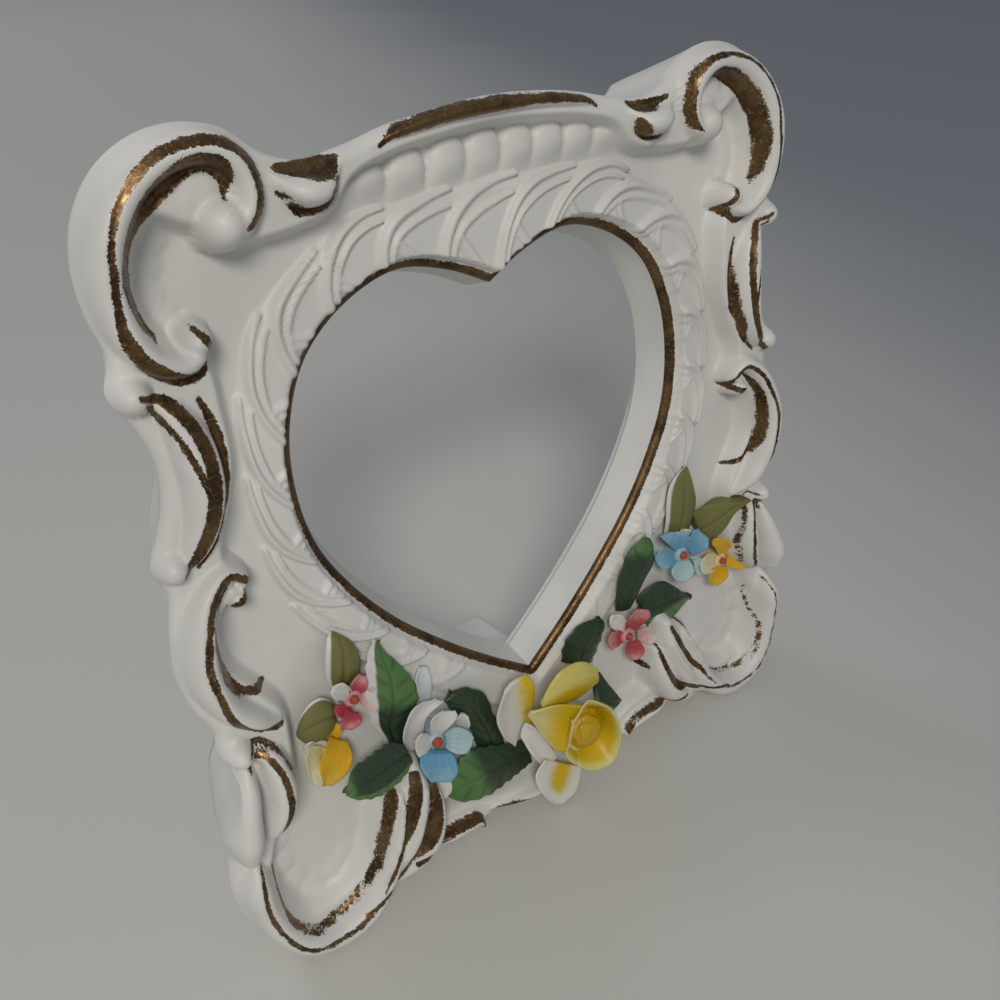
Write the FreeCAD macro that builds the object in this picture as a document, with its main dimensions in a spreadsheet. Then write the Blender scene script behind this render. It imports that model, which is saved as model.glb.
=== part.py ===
import FreeCAD, Part
import math
import os
import Mesh
import Sketcher

# Heart shaped photo frame in white bisque porcelain, with applied leaves and flowers.
# Lengths are millimetres and angles are degrees.
# Plan coordinates of the frame before it leans: X to the right, Z up, and the front faces -Y.
# The middle of the heart opening is the plan's zero, and a rise is a distance forward of
# the opening's rim, so a point that rises by r lies at Y = -r.

V = FreeCAD.Vector
doc = FreeCAD.newDocument("HeartPhotoFrame")

# Driving sizes, one named cell each
SIZES = [
    ("opening_height", 100.0),
    ("lean_angle", 8.0),
    ("standing_cut", 0.7),
    ("footprint_middle", 26.0),
    ("body_back", 12.0),
    ("back_inset", 4.0),
    ("shoulder_rise", 8.0),
    ("field_rise", 3.0),
    ("lip_width", 2.2),
    ("opening_draft", 2.0),
    ("rebate_width", 3.0),
    ("rebate_depth", 3.5),
    ("cut_overrun", 2.0),
    ("crest_root", 2.0),
    ("band_step", 6.6),
    ("arc_least_bow", 0.02),
    ("facet_join", 0.001),
    ("corner_crest", 13.5),
    ("side_crest", 13.0),
    ("middle_crest", 14.0),
    ("lower_crest", 14.0),
    ("lobe_crest", 15.0),
    ("stem_crest", 14.2),
    ("hook_crest", 12.0),
    ("rail_crest", 11.0),
    ("motif_crest", 12.5),
    ("arch_crest", 10.0),
    ("flute_crest", 4.6),
    ("collar_rise", 4.2),
    ("arcade_crest", 5.3),
    ("arcade_rib_width", 3.2),
    ("upper_boss_radius", 3.6),
    ("middle_boss_radius", 3.6),
    ("lower_boss_radius", 3.6),
    ("foot_boss_radius", 5.2),
    ("corner_ball_radius", 3.6),
    ("side_ball_radius", 3.0),
    ("scroll_ball_radius", 2.4),
    ("hook_ball_radius", 2.4),
    ("boss_rise", 7.5),
    ("foot_width", 40.0),
    ("foot_reach", 44.0),
    ("foot_top", 22.0),
    ("foot_toe", 7.0),
    ("foot_round", 3.0),
    ("seat_gap", 0.2),
    ("leaf_thickness", 1.3),
    ("leaf_edge", 0.5),
    ("leaf_cup", 1.3),
    ("leaf_lift", 1.6),
    ("olive_leaf_length", 16.0),
    ("olive_leaf_width", 8.6),
    ("tall_olive_leaf_length", 18.0),
    ("tall_olive_leaf_width", 10.5),
    ("long_leaf_length", 27.0),
    ("long_leaf_width", 10.0),
    ("broad_leaf_length", 16.5),
    ("broad_leaf_width", 11.5),
    ("centre_leaf_length", 22.5),
    ("centre_leaf_width", 15.0),
    ("green_leaf_length", 20.5),
    ("green_leaf_width", 11.5),
    ("small_leaf_length", 13.5),
    ("small_leaf_width", 8.0),
    ("small_flower_width", 12.0),
    ("side_flower_width", 14.0),
    ("large_flower_width", 17.0),
    ("flower_stem_radius", 1.7),
    ("flower_stem_rise", 3.6),
    ("flower_cup", 2.4),
    ("petal_thickness", 0.9),
    ("button_radius", 1.5),
    ("button_rise", 1.6),
    ("rose_base_radius", 4.8),
    ("rose_cup_radius", 6.4),
    ("rose_base_rise", 9.0),
    ("rose_petal_length", 14.5),
    ("rose_petal_width", 15.0),
    ("rose_petal_cup", 3.0),
    ("rose_petal_lift", 3.2),
    ("rose_inner_rise", 9.0),
    ("rose_inner_flare", 1.8),
    ("rose_heart_radius", 3.4),
    ("rose_heart_rise", 8.5),
]

sheet = doc.addObject("Spreadsheet::Sheet", "Sizes")
for row, (alias, value) in enumerate(SIZES, start=1):
    sheet.set("A%d" % row, alias)
    sheet.set("B%d" % row, str(value))
    sheet.setAlias("B%d" % row, alias)
doc.recompute()


def size(alias):
    """One driving size from the sheet."""
    return float(sheet.get(alias))


def cell(alias):
    """The expression that binds a property to a driving size."""
    return "Sizes." + alias


# Outlines in shares of the opening's height, for the left half, from the top middle round
# to the bottom middle. The right half is their mirror.
OUTLINE_SHARES = [
    (0.000, 0.860), (-0.120, 0.853), (-0.220, 0.838), (-0.310, 0.818), (-0.400, 0.810),
    (-0.450, 0.830), (-0.500, 0.872), (-0.570, 0.892), (-0.640, 0.885), (-0.710, 0.848),
    (-0.758, 0.790), (-0.782, 0.720), (-0.784, 0.640), (-0.773, 0.570), (-0.792, 0.510),
    (-0.770, 0.460), (-0.751, 0.390), (-0.758, 0.310), (-0.786, 0.240), (-0.812, 0.185),
    (-0.797, 0.140), (-0.815, 0.050), (-0.829, -0.040), (-0.818, -0.130), (-0.795, -0.200),
    (-0.800, -0.255), (-0.787, -0.300), (-0.806, -0.370), (-0.846, -0.450), (-0.848, -0.520),
    (-0.860, -0.620), (-0.848, -0.725), (-0.805, -0.820), (-0.735, -0.883), (-0.650, -0.893),
    (-0.560, -0.863), (-0.465, -0.818), (-0.375, -0.803), (-0.310, -0.845), (-0.260, -0.860),
    (-0.226, -0.830), (-0.185, -0.812), (-0.100, -0.838), (0.000, -0.850),
]
FIELD_SHARES = [
    (0.000, 0.810), (-0.120, 0.803), (-0.220, 0.790), (-0.300, 0.765), (-0.345, 0.720),
    (-0.430, 0.700), (-0.520, 0.700), (-0.600, 0.740), (-0.650, 0.765), (-0.695, 0.715),
    (-0.705, 0.640), (-0.680, 0.580), (-0.620, 0.520), (-0.616, 0.440), (-0.620, 0.350),
    (-0.650, 0.260), (-0.680, 0.190), (-0.680, 0.100), (-0.730, 0.030), (-0.732, -0.060),
    (-0.690, -0.140), (-0.655, -0.210), (-0.655, -0.310), (-0.670, -0.420), (-0.730, -0.510),
    (-0.768, -0.600), (-0.760, -0.700), (-0.710, -0.780), (-0.630, -0.785), (-0.570, -0.740),
    (-0.530, -0.670), (-0.500, -0.595), (-0.440, -0.575), (-0.375, -0.600), (-0.360, -0.670),
    (-0.340, -0.730), (-0.270, -0.745), (-0.200, -0.775), (-0.100, -0.800), (0.000, -0.810),
]
# Heart opening, left half from the notch round to the point
HEART_SHARES = [
    (0.000, 0.503), (-0.090, 0.548), (-0.210, 0.576), (-0.320, 0.544), (-0.425, 0.463),
    (-0.483, 0.345), (-0.501, 0.200), (-0.484, 0.078), (-0.430, -0.045), (-0.345, -0.173),
    (-0.230, -0.300), (-0.115, -0.408), (0.000, -0.503),
]

# Raised bands of the border: x, z and half width of the band, all in shares of the
# opening's height, along the left half
BAND_SHARES = {
    "corner_crest": [
        (-0.575, 0.735, 0.014), (-0.530, 0.723, 0.026), (-0.496, 0.760, 0.030),
        (-0.498, 0.810, 0.032), (-0.535, 0.848, 0.034), (-0.595, 0.853, 0.036),
        (-0.660, 0.828, 0.039), (-0.710, 0.779, 0.041), (-0.740, 0.715, 0.041),
        (-0.744, 0.650, 0.039), (-0.733, 0.595, 0.036), (-0.705, 0.553, 0.033),
        (-0.663, 0.535, 0.029), (-0.632, 0.552, 0.022), (-0.638, 0.585, 0.010),
    ],
    "side_crest": [
        (-0.742, 0.512, 0.014), (-0.706, 0.460, 0.036), (-0.688, 0.390, 0.048),
        (-0.688, 0.320, 0.049), (-0.706, 0.255, 0.043), (-0.742, 0.198, 0.030),
        (-0.772, 0.168, 0.014),
    ],
    "middle_crest": [
        (-0.685, 0.082, 0.008), (-0.663, 0.110, 0.018), (-0.692, 0.142, 0.024),
        (-0.732, 0.120, 0.030), (-0.765, 0.060, 0.038), (-0.780, -0.010, 0.043),
        (-0.776, -0.080, 0.043), (-0.752, -0.145, 0.038), (-0.715, -0.193, 0.032),
        (-0.675, -0.225, 0.018),
    ],
    "lower_crest": [
        (-0.755, -0.255, 0.014), (-0.718, -0.280, 0.030), (-0.706, -0.340, 0.040),
        (-0.714, -0.410, 0.040), (-0.741, -0.470, 0.030), (-0.768, -0.505, 0.014),
    ],
    "lobe_crest": [
        (-0.800, -0.530, 0.014), (-0.812, -0.600, 0.038), (-0.808, -0.685, 0.040),
        (-0.785, -0.760, 0.042), (-0.740, -0.822, 0.044), (-0.675, -0.850, 0.040),
        (-0.605, -0.830, 0.046), (-0.545, -0.780, 0.050), (-0.500, -0.705, 0.046),
        (-0.475, -0.640, 0.034), (-0.462, -0.590, 0.016),
    ],
    "stem_crest": [
        (-0.500, -0.800, 0.014), (-0.445, -0.745, 0.036), (-0.412, -0.675, 0.036),
        (-0.388, -0.605, 0.016),
    ],
    "hook_crest": [
        (-0.400, -0.775, 0.008), (-0.340, -0.765, 0.017), (-0.285, -0.772, 0.017),
        (-0.252, -0.800, 0.016), (-0.258, -0.830, 0.008),
    ],
    "motif_crest": [
        (-0.448, 0.785, 0.014), (-0.415, 0.765, 0.032), (-0.370, 0.762, 0.034),
        (-0.330, 0.790, 0.014),
    ],
}
# Section of a raised band: share of its half width, and share of its height over its root
BAND_PROFILE_SHARES = [
    (-1.00, 0.00), (-0.94, 0.58), (-0.42, 0.97), (0.42, 0.97), (0.94, 0.58), (1.00, 0.00),
]
# Bands that cross the middle, given whole
RAIL_SHARES = {
    "arch_crest": [
        (-0.280, 0.806, 0.010), (-0.200, 0.826, 0.018), (-0.100, 0.840, 0.021),
        (0.000, 0.843, 0.022), (0.100, 0.840, 0.021), (0.200, 0.826, 0.018),
        (0.280, 0.806, 0.010),
    ],
    "rail_crest": [
        (-0.215, -0.788, 0.010), (-0.120, -0.812, 0.016), (0.000, -0.826, 0.018),
        (0.120, -0.812, 0.016), (0.215, -0.788, 0.010),
    ],
}
# Fluted panel under the top arch: middle of each flute, then the flute's own height up the
# face, its half width there, and how much lower it ends for its distance from the middle
FLUTE_MIDDLE_SHARES = [-0.260, -0.175, -0.083, -0.002, 0.076, 0.153, 0.230, 0.305]
FLUTE_ROWS_SHARES = [(0.710, 0.038), (0.755, 0.040), (0.788, 0.032), (0.802, 0.012)]
FLUTE_FALL_SHARE = 0.28
# Arcade round the heart: its outer edge for the left half, down to where the spray begins
ARCADE_EDGE_SHARES = [
    (0.000, 0.712), (-0.170, 0.703), (-0.323, 0.689), (-0.404, 0.639), (-0.509, 0.567), (-0.570, 0.456),
    (-0.597, 0.310), (-0.603, 0.180), (-0.586, 0.030), (-0.535, -0.095), (-0.445, -0.230),
    (-0.330, -0.360), (-0.200, -0.485), (0.000, -0.625),
]
ARCADE_LOWEST_SHARE = -0.070
ARCADE_COUNT = 26
ARCH_STEPS = 20
# One arch: how far it has run in arches, the share from the heart's edge to the arcade's edge
ARCH_SHARES = [(0.08, 0.34), (0.28, 0.58), (0.62, 0.85), (0.95, 0.96), (1.25, 1.00)]
ARCH_PROFILE_SHARES = [(-1.00, 0.00), (-0.55, 1.00), (0.55, 1.00), (1.00, 0.00)]
# Round bosses where the scrolls meet on the outer edge, and the balls that end the volutes:
# x and z in shares
BOSS_SHARES = {
    "upper_boss_radius": (-0.755, 0.505),
    "middle_boss_radius": (-0.776, 0.186),
    "lower_boss_radius": (-0.765, -0.255),
    "foot_boss_radius": (-0.792, -0.460),
    "corner_ball_radius": (-0.570, 0.735),
    "side_ball_radius": (-0.638, 0.583),
    "scroll_ball_radius": (-0.683, 0.080),
    "hook_ball_radius": (-0.268, -0.828),
}

# Leaves: cutter, the level that the leaf lies on, plan place of its foot in shares, heading
# of its tip, and how far the tip is turned up
LEAF_ROWS = [
    ("olive_leaf_left_upper", "olive_leaf", "field", (-0.504, -0.250), 92.0, 2.0),
    ("olive_leaf_left_lower", "olive_leaf", "field", (-0.490, -0.322), 178.0, 3.0),
    ("dark_leaf_left_upper", "long_leaf", "field", (-0.405, -0.470), 93.0, 1.5),
    ("dark_leaf_left_lower", "broad_leaf", "shoulder", (-0.425, -0.543), 176.0, 1.0),
    ("dark_leaf_centre_upper", "centre_leaf", "field", (-0.150, -0.590), 119.0, 2.0),
    ("dark_leaf_centre_lower", "centre_leaf", "field", (-0.105, -0.668), 186.0, 3.0),
    ("dark_leaf_by_point", "broad_leaf", "field", (0.117, -0.556), 55.0, 2.0),
    ("small_leaf_by_rose", "small_leaf", "field", (0.165, -0.625), 306.0, 3.0),
    ("green_leaf_right_upper", "green_leaf", "field", (0.275, -0.430), 62.0, 2.0),
    ("green_leaf_right_lower", "green_leaf", "field", (0.340, -0.455), 342.0, 2.0),
    ("olive_leaf_right_upper", "tall_olive_leaf", "field", (0.485, -0.270), 86.0, 2.0),
    ("olive_leaf_right_lower", "olive_leaf", "field", (0.535, -0.322), 10.0, 32.0),
]
# Flowers: plan place of the stem in shares, and heading of the first petal
FLOWER_ROWS = [
    ("pink_flower_left", "small_flower", (-0.522, -0.270), 90.0),
    ("yellow_flower_left", "small_flower", (-0.590, -0.388), 60.0),
    ("blue_flower_left", "large_flower", (-0.330, -0.510), 75.0),
    ("pink_flower_right", "side_flower", (0.270, -0.512), 90.0),
    ("blue_flower_right", "side_flower", (0.485, -0.338), 100.0),
    ("yellow_flower_right", "small_flower", (0.602, -0.428), 80.0),
]
ROSE_SHARES = (0.020, -0.660)
ROSE_PETAL_ROWS = [
    ("rose_petal_upper", 68.0),
    ("rose_petal_left", 138.0),
    ("rose_petal_lower", 246.0),
    ("rose_petal_right", 312.0),
]
ROSE_INNER_HEADINGS = [40.0, 160.0, 280.0]
ROSE_INNER_SWEEP = 108.0

# Outline of a leaf and of a rose petal: share of its length, and share of its width there
LEAF_SECTION_SHARES = [(0.00, 0.14), (0.18, 0.68), (0.42, 1.00), (0.68, 0.84), (0.88, 0.42), (1.00, 0.06)]
PETAL_SECTION_SHARES = [(0.00, 0.38), (0.22, 0.68), (0.52, 1.00), (0.80, 0.86), (0.94, 0.52), (1.00, 0.22)]
# Places across a leaf or petal section, in shares of its half width
ACROSS_SHARES = [-1.0, -0.5, 0.0, 0.5, 1.0]
PETAL_COUNT = 5
PETAL_START_SHARE = 0.70
PETAL_BREADTH_SHARE = 0.98
PETAL_CUP_SHARE = 0.40
PETAL_SEAT_SHARE = 0.70
FLOWER_PETAL_SHARES = [(0.00, 0.20), (0.45, 0.88), (0.75, 1.00), (1.00, 0.45)]
PETAL_ACROSS_SHARES = [-1.0, 0.0, 1.0]
# Section of a boss from its middle forward: share of its radius, and share of its height
BOSS_PROFILE_SHARES = [(1.00, -0.60), (1.00, 0.00), (0.87, 0.50), (0.50, 0.87), (0.16, 0.99)]
BOSS_SIDES = 12
STEM_SIDES = 8
LEAST_STATIONS = 5
INNER_PETAL_BULGE_SHARES = (0.80, 0.50)
FOOT_KNEE_SHARES = (0.45, 0.35)
TABLE_SHARE = 4.0
BUTTON_SHOULDER_SHARE = 0.55
BUTTON_CROWN_SHARE = 0.45
HEART_TURNS = 1.6
HEART_TURN_STEPS = 26
HEART_START_SHARE = 0.42

opening_height = size("opening_height")
body_back = size("body_back")
field_rise = size("field_rise")
shoulder_rise = size("shoulder_rise")
seat_gap = size("seat_gap")
cut_overrun = size("cut_overrun")
# Where every flower and the rose are seated: just clear of the field
seat_rise = field_rise + seat_gap
lean = math.radians(size("lean_angle"))
# The lowest scrolls are ground flat by the standing cut, so they carry the frame on the table
lowest_share = -min(share_z for share_x, share_z in OUTLINE_SHARES)
centre_height = (lowest_share * opening_height * math.cos(lean) - shoulder_rise * math.sin(lean)
                 - size("standing_cut"))


def plan(share_x, share_z, rise=0.0):
    """A point of the plan from its shares, at a rise forward of the rim."""
    return V(share_x * opening_height, -rise, share_z * opening_height)


def mirrored(shares):
    """Closed ring of plan shares from its left half, with the middle points used once."""
    right = [(-row[0],) + tuple(row[1:]) for row in reversed(shares) if row[0] != 0.0]
    return shares + right


def arc_chain(points):
    """Edges through the points, three at a time, as arcs, or lines where they run straight."""
    edges = []
    for first, middle, last in zip(points[0::2], points[1::2], points[2::2]):
        bow = middle.distanceToLine(first, last.sub(first))
        if bow < size("arc_least_bow"):
            edges.append(Part.LineSegment(first, last).toShape())
        else:
            edges.append(Part.Arc(first, middle, last).toShape())
    return edges


def ring_wire(shares, rise, inset=0.0):
    """Closed wire of arcs through plan shares, drawn in towards the middle by an inset."""
    reach = max(abs(share_x) for share_x, share_z in shares) * opening_height
    keep = (reach - inset) / reach
    points = [plan(share_x * keep, share_z * keep, rise) for share_x, share_z in shares]
    return Part.Wire(arc_chain(points + points[:1]))


def heart_wire(rise, outset=0.0):
    """Closed heart wire with a sharp notch and point, grown outward by an outset."""
    half_width = max(abs(share_x) for share_x, share_z in HEART_SHARES) * opening_height
    grow = (half_width + outset) / half_width
    left = [plan(share_x * grow, share_z * grow, rise) for share_x, share_z in HEART_SHARES]
    right = [V(-point.x, point.y, point.z) for point in reversed(left)]
    return Part.Wire(arc_chain(left) + arc_chain(right))


def feature(name, shape):
    """A document object that holds one shape."""
    made = doc.addObject("Part::Feature", name)
    made.Shape = shape
    return made


def cut_object(name, base, tool):
    """Part::Cut of two document objects."""
    made = doc.addObject("Part::Cut", name)
    made.Base = base
    made.Tool = tool
    return made


def faceted_solid(sections):
    """Solid with flat triangular facets between closed sections that have as many corners each."""
    triangles = []
    for near, far in zip(sections, sections[1:]):
        following = near[1:] + near[:1]
        far_following = far[1:] + far[:1]
        for corner, beside, above, across in zip(near, following, far, far_following):
            triangles.append([corner, beside, above])
            triangles.append([beside, across, above])
    for end in (sections[0], sections[-1]):
        middle = V(0.0, 0.0, 0.0)
        for corner in end:
            middle = middle + corner * (1.0 / len(end))
        for corner, beside in zip(end, end[1:] + end[:1]):
            triangles.append([corner, beside, middle])
    mesh = Mesh.Mesh(triangles)
    mesh.harmonizeNormals()
    shell = Part.Shape()
    shell.makeShapeFromMesh(mesh.Topology, size("facet_join"))
    solid = Part.makeSolid(shell)
    if solid.Volume < 0.0:
        solid.reverse()
    return solid


def prism_ring(radius, sides, level):
    """Corners of a regular prism about the forward axis, at a level forward."""
    return [V(radius * math.cos(2.0 * math.pi * side / sides), -level,
              radius * math.sin(2.0 * math.pi * side / sides)) for side in range(sides)]


def band_stations(rows):
    """Evenly spaced places along a band, each with its half width there."""
    guide = Part.BSplineCurve()
    guide.interpolate([V(row[0], row[2], row[1]) * opening_height for row in rows])
    edge = guide.toShape()
    count = max(LEAST_STATIONS, round(edge.Length / size("band_step")))
    return [(V(point.x, 0.0, point.z), point.y) for point in edge.discretize(Number=count)]


def band_solid(rows, crest):
    """Raised band through D shaped sections that sink where the band narrows."""
    return raised_solid(band_stations(rows), crest, BAND_PROFILE_SHARES)


def raised_solid(stations, crest, profile_shares):
    """Raised moulding along stations of place and half width, with its root in the field."""
    root = field_rise - size("crest_root")
    broadest = max(half for place, half in stations)
    sections = []
    for index, (place, half) in enumerate(stations):
        before = stations[max(index - 1, 0)][0]
        after = stations[min(index + 1, len(stations) - 1)][0]
        along = after.sub(before)
        along.normalize()
        across = V(-along.z, 0.0, along.x)
        tall = (crest - root) * math.sqrt(half / broadest)
        corners = [place + across * (half * side) + V(0.0, -root - tall * up, 0.0)
                   for side, up in profile_shares]
        sections.append(corners)
    return faceted_solid(sections)


def boss_solid(radius, share_x, share_z):
    """Round boss or volute ball on the casting, with its widest girth at the boss rise."""
    middle = plan(share_x, share_z, size("boss_rise"))
    return faceted_solid([[middle + corner for corner in prism_ring(radius * wide, BOSS_SIDES, radius * up)]
                          for wide, up in BOSS_PROFILE_SHARES])


def flute_solid(middle):
    """One rounded flute of the panel between the arcade and the top arch."""
    fall = FLUTE_FALL_SHARE * middle * middle
    stations = [(plan(middle, up - fall), half * opening_height) for up, half in FLUTE_ROWS_SHARES]
    return raised_solid(stations, size("flute_crest"), BAND_PROFILE_SHARES)


def clockwise_ring(shares, count):
    """Evenly spaced plan points clockwise from the top middle, from a left half."""
    guide = Part.BSplineCurve()
    guide.interpolate([plan(share_x, share_z) for share_x, share_z in shares])
    left = guide.toShape().discretize(Number=count + 1)
    right = [V(-point.x, point.y, point.z) for point in left]
    return right[:-1] + list(reversed(left))[:-1]


def arcade_solids():
    """Ribs of the arcade: arches that lean clockwise from the heart's rim to the arcade's edge."""
    half_count = ARCADE_COUNT * ARCH_STEPS // 2
    inner = clockwise_ring(HEART_SHARES, half_count)
    outer = clockwise_ring(ARCADE_EDGE_SHARES, half_count)
    half = size("arcade_rib_width") / 2
    ribs = []
    for arch in range(ARCADE_COUNT):
        stations = []
        for run, across in ARCH_SHARES:
            index = round((arch + run) * ARCH_STEPS) % len(inner)
            stations.append((inner[index] * (1.0 - across) + outer[index] * across, half))
        if min(place.z for place, half_width in stations) > ARCADE_LOWEST_SHARE * opening_height:
            ribs.append(raised_solid(stations, size("arcade_crest"), ARCH_PROFILE_SHARES))
    return ribs


def collar_solid():
    """Low collar that carries the arcade, from the top down to where the spray begins."""
    lowest = ARCADE_LOWEST_SHARE * opening_height
    ring = [point for point in clockwise_ring(ARCADE_EDGE_SHARES, ARCADE_COUNT) if point.z > lowest]
    root = V(0.0, size("crest_root") - field_rise, 0.0)
    face = Part.Face(Part.makePolygon([point + root for point in ring + ring[:1]]))
    return face.extrude(V(0.0, -size("collar_rise"), 0.0) - root)


def mirror_x(shape):
    """Mirror image of a shape across the middle of the frame."""
    return shape.mirror(V(0.0, 0.0, 0.0), V(1.0, 0.0, 0.0))


def make_body():
    """The bisque casting: bordered plate, sunk field, heart opening, scroll bands and bosses."""
    ring = mirrored(OUTLINE_SHARES)
    plate = Part.makeLoft([
        ring_wire(ring, shoulder_rise),
        ring_wire(ring, -body_back, size("back_inset")),
    ], True, True)
    plate_object = feature("Plate", plate)

    field_face = feature("FieldOutline", ring_wire(mirrored(FIELD_SHARES), field_rise))
    field_pocket = doc.addObject("Part::Extrusion", "FieldPocket")
    field_pocket.Base = field_face
    field_pocket.Dir = V(0.0, -1.0, 0.0)
    field_pocket.Solid = True
    field_pocket.setExpression("LengthFwd", "Sizes.shoulder_rise - Sizes.field_rise + Sizes.cut_overrun")
    dished = cut_object("DishedPlate", plate_object, field_pocket)
    doc.recompute()

    body = dished.Shape.fuse([collar_solid()] + arcade_solids()
                             + [flute_solid(middle) for middle in FLUTE_MIDDLE_SHARES])
    for alias, rows in BAND_SHARES.items():
        band = band_solid(rows, size(alias))
        body = body.fuse([band, mirror_x(band)])
    for alias, rows in RAIL_SHARES.items():
        body = body.fuse(band_solid(rows, size(alias)))
    for alias, (share_x, share_z) in BOSS_SHARES.items():
        boss = boss_solid(size(alias), share_x, share_z)
        body = body.fuse([boss, mirror_x(boss)])

    rebate = size("rebate_depth")
    lip = Part.makeLoft([heart_wire(shoulder_rise + cut_overrun, size("lip_width")),
                         heart_wire(field_rise, size("lip_width"))], True, True)
    rim = Part.makeLoft([heart_wire(field_rise, size("lip_width")), heart_wire(0.0)], True, True)
    wall = Part.makeLoft([heart_wire(0.0), heart_wire(rebate - body_back, -size("opening_draft"))], True, True)
    seat_outset = size("rebate_width") - size("opening_draft")
    seat = Part.makeLoft([heart_wire(rebate - body_back, seat_outset),
                          heart_wire(-body_back - cut_overrun, seat_outset)], True, True)
    for cutter in (lip, rim, wall, seat):
        body = body.cut(cutter)
    return body


def table_block():
    """Everything below the table, in plan coordinates, to cut the standing flats."""
    wide = opening_height * TABLE_SHARE
    block = Part.makeBox(wide, wide, wide, V(-wide / 2, -wide / 2, -wide - centre_height))
    block.rotate(V(0.0, 0.0, 0.0), V(1.0, 0.0, 0.0), size("lean_angle"))
    return block


def blade_solid(length, width, thickness, cup, lift, outline_shares, across_shares=ACROSS_SHARES):
    """Leaf or petal that lies along +X and faces -Y, its edges cupped and its tip lifted."""
    edge = size("leaf_edge")
    sections = []
    for along, broad in outline_shares:
        half = width / 2 * broad
        keel = lift * along * along
        under = [V(along * length, -keel - cup * broad * side * side, side * half) for side in across_shares]
        over = [V(along * length, -keel - cup * broad * side * side
                  - edge - (thickness - edge) * broad * (1 - side * side), side * half)
                for side in reversed(across_shares)]
        sections.append(under + over)
    return faceted_solid(sections)


def heading_turn(heading):
    """Rotation in the plan that points +X along a heading, anticlockwise from +X to +Z."""
    return FreeCAD.Rotation(V(0.0, 1.0, 0.0), -heading)


def lean_placement():
    """Placement that leans the frame back and stands it on the table."""
    tilt = FreeCAD.Rotation(V(1.0, 0.0, 0.0), -size("lean_angle"))
    return FreeCAD.Placement(V(0.0, -size("footprint_middle"), centre_height), tilt)


def lean_back(part_object, local=FreeCAD.Placement()):
    """Give a sub-part its place: first in the plan, then leaned back on the table."""
    part_object.Placement = lean_placement().multiply(local)
    sub_parts.append(part_object)


def make_leaf(label, cutter, level, foot, heading, turn_up):
    """One leaf, pressed on its level of the casting and seated a hair clear of it."""
    blade = blade_solid(size(cutter + "_length"), size(cutter + "_width"), size("leaf_thickness"),
                        size("leaf_cup"), size("leaf_lift"), LEAF_SECTION_SHARES)
    leaf = feature(label, blade)
    turned_up = FreeCAD.Rotation(V(0.0, 0.0, 1.0), -turn_up)
    rest = plan(foot[0], foot[1], size(level + "_rise") + seat_gap)
    place = FreeCAD.Placement(rest, heading_turn(heading).multiply(turned_up))
    lean_back(leaf, place)


def flower_cup_solid(width):
    """Five petalled flower on a short stem, which faces -Y from its seat at zero."""
    stem = size("flower_stem_radius")
    stem_rise = size("flower_stem_rise")
    skin = size("petal_thickness")
    half = width / 2
    flower = faceted_solid([prism_ring(stem, STEM_SIDES, level) for level in (0.0, stem_rise + skin)])
    start = stem * PETAL_START_SHARE
    petal = blade_solid(half - start, half * PETAL_BREADTH_SHARE, skin, size("flower_cup") * PETAL_CUP_SHARE,
                        size("flower_cup"), FLOWER_PETAL_SHARES, PETAL_ACROSS_SHARES)
    for index in range(PETAL_COUNT):
        turn = heading_turn(index * 360.0 / PETAL_COUNT)
        blade = petal.copy()
        blade.Placement = FreeCAD.Placement(turn.multVec(V(start, -stem_rise, 0.0)), turn)
        flower = flower.fuse(blade)
    return flower


def make_flower(label, kind, foot, heading):
    """A pressed flower, and the button in its middle as a piece of its own."""
    seat = FreeCAD.Placement(plan(foot[0], foot[1], seat_rise), heading_turn(heading))
    flower = feature(label, flower_cup_solid(size(kind + "_width")))
    lean_back(flower, seat)
    make_button(label + "_centre", foot)


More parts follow.
